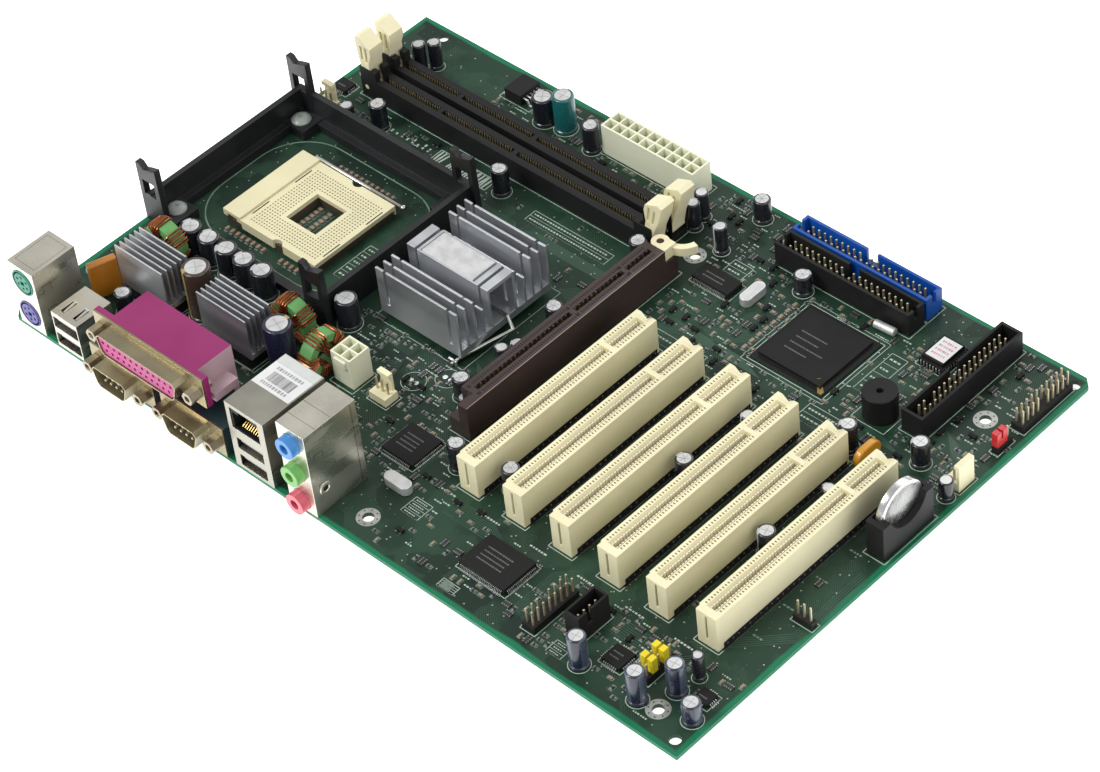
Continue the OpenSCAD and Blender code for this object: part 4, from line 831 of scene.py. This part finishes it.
def rear_sockets():
    for node, bevel in (("ps2_shell", 0.35), ("usb_shell", 0.3), ("lan_usb_shell", 0.3),
            ("audio_shell", 0.35)):
        refined(node, "dull_nickel" if node == "lan_usb_shell" else "nickel", bevel, 3)
    refine_each(0.12, keyboard_socket="purple", mouse_socket="mint", usb_inserts="black",
        lan_usb_insert="black")
    refined("parallel_shell", "bronze", 0.3, 3)
    refined("serial_shells", "bronze", 0.3, 3)
    low, high = cad("parallel_housing")
    refined("parallel_housing", "magenta", 0.35, 3, paint=[
        ("pink", lambda c, n: c.y < 0.5),
        ("mauve", lambda c, n: c.x > high.x - 5.2 and c.y > 3)])
    refined("serial_housings", "teal_black", 0.25)
    refined("dsub_jackscrews", "zinc", 0.2)
    # The end face deep in each bore is painted near-black: painted shade.
    for node, shade in (("line_in_jack", "audio_blue"), ("line_out_jack", "audio_green"),
            ("microphone_jack", "audio_pink")):
        refined(node, shade, 0.75, 4, paint=[("dark", lambda c, n: c.y > 10)])
    sheet_seams("ps2_shell", [])
    low, high = cad("ps2_shell")
    # The inset panel line on top of the shell is a thin line of painted shade.
    panel = Piece("ps2_shell_panel")
    panel.outline(low.x + 1.6, low.y + 2.5, high.x - 1.6, high.y - 2, "dark", 0.1, high.z + FACE_LIFT)
    panel.make()
    sheet_seams("audio_shell", [5.2, 12])
    low, high = cad("audio_shell")
    ring = Piece("audio_shell_boss")
    # Boss on the side of the shell; the disc in its hole is painted shade.
    profile = [(2.5, 0.0), (2.3, 0.3), (1.4, 0.3), (1.2, 0.05), (0.0, 0.05)]
    ring.lathe((high.x, 5.1, 9.5), "x", profile, ["nickel", "nickel", "nickel", "dark"], 28)
    # A thin upright strip of painted shade stands for a slit in the side.
    ring.box((high.x - 0.01, high.y - 2.4, 1), (high.x + 0.05, high.y - 2.25, high.z - 1), "dark")
    ring.make(weld=True)
    low, high = cad("lan_usb_shell")
    tabs = Piece("lan_shell_tabs")
    # Cut tab outlines on the side, drawn as thin strips of painted shade.
    for y, z in ((6, 5), (6, 14), (16, 8), (16, 22), (22, 15)):
        tabs.box((high.x - 0.01, y, z), (high.x + 0.04, y + 2.6, z + 0.5), "dark")
    tabs.make()
    network_details()
    usb_details()


def usb_contacts(trim, x0, x1, z, reach):
    """Four gold strips under a tongue, its pale front edge and the bright floor of the port."""
    trim.box((x0 - 0.2, 1.05, z + 0.1), (x1 + 0.2, 1.2, z + 1.7), "label_grey")
    trim.box((x0 - 0.7, 0.3, z - 2.25), (x1 + 0.7, 6, z - 2.1), "nickel")
    for k in range(4):
        x = x0 + (x1 - x0) * (k + 0.5) / 4
        trim.box((x - 0.55, 1.4, z - 0.06), (x + 0.55, reach, z + 0.02), "gold")


def usb_details():
    trim = Piece("usb_contacts")
    low, high = cad("usb_shell")
    for z in (3.7, 11.0):
        usb_contacts(trim, low.x + 1.4, high.x - 1.4, z, 9)
    low, high = cad("lan_usb_shell")
    for z in (3.7, 11.4):
        usb_contacts(trim, low.x + 3.6, high.x - 3.6, z, 9)
    trim.make()
    springs = Piece("usb_springs")
    low, high = cad("usb_shell")
    for x in (low.x + 3.4, high.x - 3.4):
        springs.add([(x - 0.4, 2.7, high.z - 0.7), (x + 0.4, 2.7, high.z - 0.7),
            (x + 0.6, 8.2, high.z - 0.05), (x - 0.6, 8.2, high.z - 0.05)], [(0, 1, 2, 3)], "nickel")
    springs.make()


def network_details():
    low, high = cad("lan_usb_shell")
    label = Piece("port_label")
    y0 = low.y + 11.9
    label.box((low.x + 0.3, y0, high.z), (high.x - 0.5, y0 + 11.2, high.z + 0.08), "label")
    label.box((low.x + 0.3, y0 + 11.3, high.z), (high.x - 0.5, high.y - 0.3, high.z + 0.06), "label_dim")
    for shift in (1.2, 8.6):
        done = low.x + 3
        while done < high.x - 4:
            wide = rng.uniform(0.5, 1.2)
            label.sheet(done, y0 + shift, done + wide, y0 + shift + 1.3, high.z + 0.1, "label_grey")
            done += wide + 0.4
    for k in range(26):
        x = low.x + 3.5 + 0.42 * k
        label.sheet(x, y0 + 3.2, x + rng.uniform(0.1, 0.28), y0 + 7.6, high.z + 0.1, "smd_black")
    label.make()
    jack = Piece("network_contacts")
    for k in range(8):
        x = 118.4 + k * 1.0
        jack.tube([(x, 1.6, 18.8), (x, 4.6, 20.4), (x, 8.6, 22.2), (x, 12.5, 23.6)], 0.2, "gold", 5)
    jack.make()


# ---------------------------------------------------------------- processor area


def processor_area():
    low, high = cad("cpu_socket_cover")
    refined("cpu_socket_base", "base_brown", 0.2)
    refined("cpu_socket_cover", "ivory", 0.3, 3)
    refined("cpu_socket_lever", "wire", 0.0)
    holes = Piece("socket_holes")
    count, empty = 26, 7  # rows of holes, and rows from the middle that are left open
    cx, cy = 50.95, 96.15
    top = high.z - 0.9
    steps = [k - (count - 1) / 2 for k in range(count)]
    for a in steps:
        for b in steps:
            if abs(a) < empty and abs(b) < empty:
                continue
            x, y = cx + a * CONTACT_PITCH, cy + b * CONTACT_PITCH
            if y < low.y + 1.4 or y > high.y - 1.4:
                continue
            if math.hypot(x - cx, y - low.y + 1) < 3.4 or math.hypot(x - cx, y - high.y - 1) < 3.4:
                continue
            # Each hole is a flat disc of painted shade.
            holes.ring(x, y, 0.0, 0.32, top + 0.015, "olive", 10)
    # Slots in the cover, drawn as flat near-black sheets of painted shade.
    for x in (high.x - 1.0, low.x + 9.6):
        for y in (low.y + 9, high.y - 9):
            holes.sheet(x - 0.25, y - 4, x + 0.25, y + 4, top + 0.02, "dark")
    holes.make("socket_cover")
    refined("cooler_frame", "frame_black", 0.35)
    rivets()


def rivets():
    """Heads and pins of the push rivets of the cooler frame."""
    heads = Piece("frame_rivet_heads")
    for low, high in islands("cooler_rivets"):
        middle, top = (low + high) / 2, high.z
        outer = (high.x - low.x) / 2
        profile = [(2.1, -BOARD_T - 0.1), (2.15, top - 2.0), (outer, top - 1.7), (outer, top - 1.2),
            (outer - 0.4, top - 0.7), (outer - 1.3, top - 0.2), (outer - 2.2, top), (0.9, top),
            (0.8, top - 0.5), (0.0, top - 0.5)]
        heads.lathe((middle.x, middle.y, 0), "z", profile, "rivet", 28)
    heads.make("board", "cooler_rivets", weld=True)


def chipset():
    low, high = cad("northbridge_heatsink")
    refined("northbridge_chip", "chip", 0.15, paint=[("laminate", lambda c, n: c.z < 0.95)])
    refined("northbridge_heatsink", "aluminium", 0.12)
    plate = Piece("heatsink_plate_trim")
    y0, y1 = 93.2, 105.4
    plate.box((low.x + 6.5, y0 + 0.8, high.z), (high.x - 7.5, y1 - 0.8, high.z + 0.25), "can_top")
    for x in (low.x + 6.2, high.x - 7.2):
        plate.box((x, y0 + 0.6, high.z), (x + 0.4, y1 - 0.6, high.z + 0.32), "chip_mark")
    plate.make(bevel=0.08)
    refine_each(0.0, heatsink_clip="wire", clip_anchors="wire")
    refined("southbridge_chip", "chip", 0.15, paint=[("laminate", lambda c, n: c.z < 0.75)])
    low, high = cad("southbridge_chip")
    marks = Piece("chip_marks")
    top = high.z + FACE_LIFT
    marks.add([(high.x - 0.3, low.y + 0.3, 0.83), (high.x - 0.3, low.y + 1.8, 0.83),
        (high.x - 4.2, low.y + 5.2, 2.23), (high.x - 5.2, low.y + 4.2, 2.23),
        (high.x - 1.8, low.y + 0.3, 0.83)], [(0, 1, 2, 3, 4)], "gold")
    for k in range(4):
        dashes_on(marks, low.x + 7, low.y + 18 - 3 * k, rng.uniform(9, 15), top)
    for low, high in islands("leaded_chips"):
        wide, deep, top = high.x - low.x, high.y - low.y, high.z + FACE_LIFT
        rows = max(1, int(deep / 3.5))
        for k in range(rows):
            dashes_on(marks, low.x + wide * 0.18, low.y + deep * (0.3 + 0.5 * k / rows), wide * 0.5, top)
        # Pin-one dimple, drawn as a near-black dot of painted shade.
        marks.ring(low.x + 1.3, low.y + 1.3, 0.0, 0.4, top, "dark", 12)
    marks.make()


def dashes_on(art, x, y, length, z, size=0.8):
    """Faint short bars on top of a chip, standing for its marking."""
    done = 0.0
    while done < length:
        bar = rng.uniform(0.4, 0.9) * size
        art.sheet(x + done, y, x + done + bar, y + 0.7 * size, z, "chip_mark")
        done += bar + 0.35 * size


def gull_leads(leads, x0, x1, fixed, outward, axis, pitch, height):
    """Bent leads along one side of a flat chip. axis is the way the row runs."""
    count = int((x1 - x0) / pitch)
    start = (x0 + x1 - (count - 1) * pitch) / 2
    width = pitch * 0.24
    profile = [(0.0, height * 0.55), (0.45, height * 0.52), (0.75, 0.12), (1.35, 0.1)]
    for k in range(count):
        middle = start + k * pitch
        for (a0, z0), (a1, z1) in zip(profile, profile[1:]):
            p0, p1 = fixed + outward * a0, fixed + outward * a1
            quad = [(middle - width, p0, z0), (middle + width, p0, z0), (middle + width, p1, z1),
                (middle - width, p1, z1)]
            if axis == "y":
                quad = [(y, x, z) for x, y, z in quad]
            leads.add(quad, [(0, 1, 2, 3)], "tin")


def leaded_parts():
    refined("leaded_chips", "chip", 0.2)
    leads = Piece("chip_leads")
    for low, high in islands("leaded_chips"):
        wide, deep = high.x - low.x, high.y - low.y
        square = max(wide, deep) > 9 and min(wide, deep) > 9 or abs(wide - deep) < 1
        pitch = 0.65 if max(wide, deep) > 9 else 0.8
        if square or wide >= deep:
            gull_leads(leads, low.x + 0.7, high.x - 0.7, low.y, -1, "x", pitch, high.z)
            gull_leads(leads, low.x + 0.7, high.x - 0.7, high.y, 1, "x", pitch, high.z)
        if square or deep > wide:
            gull_leads(leads, low.y + 0.7, high.y - 0.7, low.x, -1, "y", pitch, high.z)
            gull_leads(leads, low.y + 0.7, high.y - 0.7, high.x, 1, "y", pitch, high.z)
    low, high = cad("bios_chip")
    mid_x, mid_y = (low.x + high.x) / 2, (low.y + high.y) / 2
    profile = ((0.02, 2.2), (0.22, 2.0), (0.22, 0.6), (-0.3, 0.1))
    # Leads folded under the chip: how many, on which two sides, and whether the row runs along x.
    for count, sides, along_x in ((9, (low.x, high.x), False), (7, (low.y, high.y), True)):
        for k in range(count):
            shift = (k - (count - 1) // 2) * CONTACT_PITCH
            for side, s in zip(sides, (-1, 1)):
                leads.tube([(mid_x + shift, side + s * out, z) if along_x else
                    (side + s * out, mid_y + shift, z) for out, z in profile], 0.24, "tin")
    leads.make()
    refined("bios_chip", "chip", 0.2)
    label = Piece("chip_label")
    inset = 1.6
    label.box((low.x + inset, low.y + inset, high.z),
        (high.x - inset + 0.6, high.y - inset, high.z + 0.08), "label")
    for k in range(4):
        y = low.y + 3.2 + 2.0 * k
        for j in range(6):
            x = low.x + 2.6 + j * 0.95
            label.sheet(x, y, x + rng.uniform(0.4, 0.8), y + 0.9, high.z + 0.1,
                "label_rose" if j % 3 else "label_grey")
    label.make()
    refined("crystals", "can_top", 0.3, 3)
    refined("buzzer", "black", 0.4, 3)
    refined("power_transistors", "black", 0.2, paint=[
        ("tin", lambda c, n: c.z < 1.32 or (c.x > 62.95 and 184 < c.y < 196))])


# ---------------------------------------------------------------- slots and latches


def stretches(strips, low, high, along):
    """Start and end, along an axis, of the contact strips that stand inside a slot's box."""
    return sorted({(round(a[along], 2), round(b[along], 2)) for a, b in strips
        if low.x < a.x and b.x < high.x and low.y < a.y and b.y < high.y})


def slot_contacts(strips):
    """Separate contact leaves in place of each strip, at the pitch of its kind of slot.

    The leaves of the expansion slots are pale, a painted highlight, and stand higher than their strips,
    which gives these slots their bright groove. The memory slot leaves are in painted shade.
    """
    leaves = Piece("contact_leaves")
    agp_low, agp_high = cad("agp_slot")
    for low, high in strips:
        if high.x - low.x > high.y - low.y:
            # Memory slot leaves in the contact_shadow tone: painted shade in the groove.
            for k in range(int((high.x - low.x) / CONTACT_PITCH)):
                x = low.x + CONTACT_PITCH * k
                leaves.box((x, low.y, low.z), (x + 0.4, high.y, high.z), "olive")
            continue
        in_agp = agp_low.x < low.x < agp_high.x
        # Expansion slot leaves are pale, a painted highlight; accelerator slot leaves are gold.
        pitch, lift, metal = (2.0, 0, "gold") if in_agp else (CONTACT_PITCH, 1.3, "leaf")
        for k in range(int((high.y - low.y) / pitch) + 1):
            y = low.y + pitch * k
            leaves.box((low.x, y, low.z), (high.x, min(y + pitch - 0.5, high.y), high.z + lift), metal)
    leaves.make("board", "slot_contacts")


def slot_marks(strips):
    """Contact openings beside every groove, in painted shade, and the contact row under each expansion slot.
    """
    marks = Piece("slot_openings")
    for low, high in islands("pci_slots"):
        x, top = (low.x + high.x) / 2, high.z + FACE_LIFT
        # Contact openings on the top, as flat marks of painted shade.
        for y0, y1 in stretches(strips, low, high, 1):
            for k in range(int((y1 - y0) / CONTACT_PITCH) + 1):
                y = y0 + CONTACT_PITCH * k
                for s in (-1, 1):
                    marks.sheet(x + s * 2.45, y, x + s * 3.3, y + 0.45, top, "olive")
        # A sheet of painted shade in the slit at the near end.
        marks.box((x - 0.42, low.y + 0.85, 3.1), (x + 0.42, low.y + 0.98, high.z - 1.3), "olive")
        for s in (-1, 1):
            side = high.x if s > 0 else low.x
            # A band of painted shade on the lower side face and a strip of painted shadow on the board beside
            # it; the tin bars are the contact tails.
            marks.box((side, low.y + 2.6, 0.02), (side + s * 0.04, high.y - 1, 2.1), "dark")
            marks.sheet(side, low.y + 1.5, side + s * 0.9, high.y - 1, INK_LIFT, "dark")
            for k in range(32):
                y = low.y + 4 + 2 * CONTACT_PITCH * k
                marks.box((side, y, 0.45), (side + s * 0.12, y + 0.6, 1.05), "tin")
    low, high = cad("agp_slot")
    x, top = (low.x + high.x) / 2, 14 + FACE_LIFT
    spans = stretches(strips, low, high, 1)
    # Contact openings of the accelerator slot, as flat marks of painted shade, with contact tips in the
    # groove.
    for y0, y1 in spans:
        for k in range(int(y1 - y0) + 1):
            y = y0 + k
            for s in (-1, 1):
                marks.sheet(x + s * 1.9, y, x + s * 3.1, y + 0.5, top, "dark")
            if k % 2 == 0:
                marks.box((x - 1.02, y + 0.1, 12.9), (x - 0.75, y + 0.6, 13.6), "tin")
        # Two openings before each run of contacts, as marks of painted shade.
        for s in (-1, 1):
            marks.sheet(x + s * 1.6, y0 - 2.3, x + s * 3.0, y0 - 0.9, top, "dark")
    # A round hole near the end, as a disc of painted shade.
    marks.ring(x, spans[0][0] - 3.6, 0.0, 0.85, top, "dark", 20)
    # A lighter brown strip along the top right edge of the slot.
    marks.sheet(high.x - 0.28, low.y + 0.3, high.x - 0.06, 149.3, top, "agp_edge")
    for low, high in islands("dimm_slots"):
        middle = (low.y + high.y) / 2
        # Contact openings on the memory slot tops, as flat marks of painted shade, with contact tips in the
        # groove.
        for x0, x1 in stretches(strips, low, high, 0):
            for k in range(int(x1 - x0)):
                for s in (-1, 1):
                    marks.sheet(x0 + k, middle + s * 1.5, x0 + k + 0.45, middle + s * 2.6,
                        MEMORY_BODY_TOP + FACE_LIFT, "dark")
                marks.box((x0 + k, middle + 0.95, 7.6), (x0 + k + 0.35, middle + 1.1, 8.3), "tin")
    marks.make()


def slots_and_latches():
    refined("pci_slots", "cream", 0.14)
    refined("agp_slot", "agp", 0.25)
    refined("dimm_slots", "black", 0.25)
    strips = islands("slot_contacts")
    slot_contacts(strips)
    refined("agp_latch", "cream", 0.3, 3)
    for row in ("a", "b"):
        for side in ("left", "right"):
            refined(f"dimm_latch_{row}_{side}", "cream", 0.3, 3)
    slot_marks(strips)


# ---------------------------------------------------------------- headers, battery and power parts


def headers():
    """Power sockets, ribbon and pin headers, with their pins and jumper caps."""
    refine_each(0.25, main_power_socket="nylon", cpu_power_socket="nylon")
    refine_each(0.2, ide_header_blue="blue", ide_header_black="black", floppy_header="black")
    refine_each(0.15, pin_header_bases="black")
    refine_each(0.1, connector_pins="pin")
    refine_each(0.2, fan_headers="cream")
    refine_each(0.18, jumper_red="red", jumper_yellow_left="yellow", jumper_yellow_right="yellow")


def battery():
    """Coin cell, turned with its crimped rim, in its holder."""
    refined("battery_holder", "black", 0.3)
    refined("battery_spring", "gold", 0.08)
    low, high = cad("coin_cell")
    cell = Piece("coin_cell_can")
    r = (high.z - low.z) / 2
    middle = (low + high) / 2
    profile = [(0.0, 0.0), (r - 2.6, 0.0), (r - 2.3, 0.12), (r - 1.5, 0.12), (r - 1.3, 0.35), (r - 0.35, 0.4),
        (r, 0.8), (r, 2.7), (r - 0.15, 3.02), (r - 0.5, 3.15), (r - 1.4, 3.2), (r - 1.7, 3.1), (0.0, 3.1)]
    cell.lathe((low.x, middle.y, middle.z), "x", profile, "coin", 64)
    cell.make("battery", "coin_cell", weld=True)


def choke_coils():
    """Copper turns wound round each ring core, in five groups of five, a little uneven."""
    coils = Piece("choke_coils")
    wire, clear = 0.38, 0.42
    for low, high in islands("choke_cores"):
        middle = (low + high) / 2
        outer = (high.z - low.z) / 2
        across_x = high.x - low.x > high.y - low.y
        half = min(high.x - low.x, high.y - low.y) / 2
        inner = outer - 3.3
        angles = [14 + 72 * group + 9 * k for group in range(5) for k in range(5)]
        for degrees in angles:
            a = math.radians(degrees + rng.uniform(-1.0, 1.0))
            loop = []
            for r, w, shift in ((inner - clear, -0.6, 0), (inner - clear, 0.6, 0.02), (inner, 1, 0.03),
                    (outer, 1, 0.05), (outer + clear, 0.6, 0.05), (outer + clear, -0.6, 0.03),
                    (outer, -1, 0.02), (inner, -1, 0)):
                turn = a + shift
                side = w * (half + clear) if abs(w) == 1 else w * half * 1.5
                along, up = r * math.cos(turn), r * math.sin(turn)
                loop.append((middle.x + along, middle.y + side, middle.z + up) if across_x else
                    (middle.x + side, middle.y + along, middle.z + up))
            coils.tube(loop, wire, "copper", 7, closed=True)
    coils.make("board", "choke_windings")
    refined("choke_cores", "choke_green", 0.4, 3)


def can_style(middle, radius):
    """Sleeve and stripe of a can, by where it stands on the board."""
    if middle.x > 250 and middle.y < 30 and radius > 2.6:
        return "sleeve_slate", "sleeve_navy"
    if radius > 4.5:
        return ("sleeve_brown", "stripe_gold") if middle.x < 70 else ("sleeve_navy", "stripe_gold")
    if 80 < middle.x < 90 and middle.y > 180:
        return "sleeve_teal", "stripe_pale"
    return "sleeve_black", "stripe_pale"


def capacitors():
    """Upright cans: sleeve with its stripe, rolled shoulder, bare top with a pressed cross."""
    cans = Piece("capacitor_cans")
    for low, high in islands("capacitors"):
        middle = (low + high) / 2
        r, top = (high.x - low.x) / 2, high.z
        sleeve, stripe = can_style(middle, r)
        face = r * 0.74
        profile = [(r * 0.9, 0.0), (r, 0.25), (r, 1.1), (r - 0.28, 1.35), (r - 0.28, 1.6), (r, 1.9),
            (r, top - 0.55), (r - 0.12, top - 0.22), (r - 0.38, top - 0.03), (r - 0.6, top),
            (face, top - 0.02), (face - 0.05, top - 0.16), (0.0, top - 0.14)]
        spans = [sleeve] * 10 + ["can_top", "can_top"]
        # Stripes mostly face away from the rear right corner; the two-tone cans show theirs.
        shown = {"sleeve_slate": 31, "sleeve_brown": 26}
        turn = shown.get(sleeve) or rng.randrange(4, 24)
        band = {(turn + k) % CAN_SIDES for k in range(3 if r > 4.5 else 6)}
        cans.lathe((middle.x, middle.y, 0), "z", profile, spans, CAN_SIDES, (stripe, sleeve, band))
        if r > 2.6:
            for angle in (turn, turn + 10) if r > 3.4 or middle.x > 250 else (turn, turn + 7, turn + 13):
                a = 2 * math.pi * angle / CAN_SIDES
                reach = face * 0.8
                cans.line((middle.x - reach * math.cos(a), middle.y - reach * math.sin(a)),
                    (middle.x + reach * math.cos(a), middle.y + reach * math.sin(a)), 0.16, "label_grey",
                    top - 0.1)
    cans.make("board", "capacitors", weld=True)


def power_parts():
    refined("vrm_heatsinks", "aluminium", 0.1)
    refined("fuses", "orange", 0.7, 4, paint=[("yellow_orange", lambda c, n: c.x > 100)])
    choke_coils()
    capacitors()


# ---------------------------------------------------------------- stage


def stage():
    """White floor, even sky and three lamps."""
    floor_mesh = bpy.data.meshes.new("floor")
    reach, drop = 4.0, board_lo.z - 0.9 * MM
    floor_mesh.from_pydata([(-reach, -reach, drop), (reach, -reach, drop), (reach, reach, drop),
        (-reach, reach, drop)], [], [(0, 1, 2, 3)])
    floor = bpy.data.objects.new("floor", floor_mesh)
    paper = surface("pale_paper", (246, 246, 246), 0.85, mottle=0.01, relief=0.02)
    bsdf = paper.node_tree.nodes["Principled BSDF"]
    bsdf.inputs["Emission Color"].default_value = (1.0, 1.0, 1.0, 1.0)
    bsdf.inputs["Emission Strength"].default_value = 0.8
    floor_mesh.materials.append(paper)
    link(floor)
    world = bpy.data.worlds.new("studio")
    bpy.context.scene.world = world
    world.use_nodes = True
    sky = world.node_tree.nodes["Background"]
    sky.inputs["Color"].default_value = (1.0, 1.0, 1.0, 1.0)
    sky.inputs["Strength"].default_value = 0.6
    lamps = [("key", (-0.9, -1.3, 1.7), 0.9, 33.0), ("fill", (1.6, -0.2, 1.1), 1.4, 9.0),
        ("back", (-0.3, 1.6, 1.4), 1.4, 12.0)]
    for name, place, size, power in lamps:
        lamp = bpy.data.lights.new(name, "AREA")
        lamp.size = size
        lamp.energy = power
        holder = bpy.data.objects.new(name, lamp)
        holder.location = place
        holder.rotation_mode = "QUATERNION"
        holder.rotation_quaternion = (-Vector(place)).to_track_quat("-Z", "Y")
        link(holder)
    bpy.context.scene.view_settings.view_transform = "Standard"


def camera():
    """Long lens at the viewing angle of the record picture, rolled a little to its right."""
    lens = bpy.data.cameras.new("camera")
    lens.sensor_width = 36.0
    lens.lens = 116.16
    lens.clip_start, lens.clip_end = 0.05, 20.0
    place = Vector((0.56198, -0.54585, 0.81329))
    aim = Vector((-0.05758, 0.00142, 0.0016))
    roll = math.radians(-7.046)
    holder = bpy.data.objects.new("camera", lens)
    holder.rotation_mode = "QUATERNION"
    holder.location = place
    turn = (aim - place).to_track_quat("-Z", "Y")
    holder.rotation_quaternion = turn @ Matrix.Rotation(roll, 4, "Z").to_quaternion()
    link(holder)
    bpy.context.scene.camera = holder


reserve_footprints()
build_board()
bus_tracks()
scatter_parts()
underside()
rear_sockets()
processor_area()
chipset()
leaded_parts()
slots_and_latches()
headers()
battery()
power_parts()
stage()
camera()
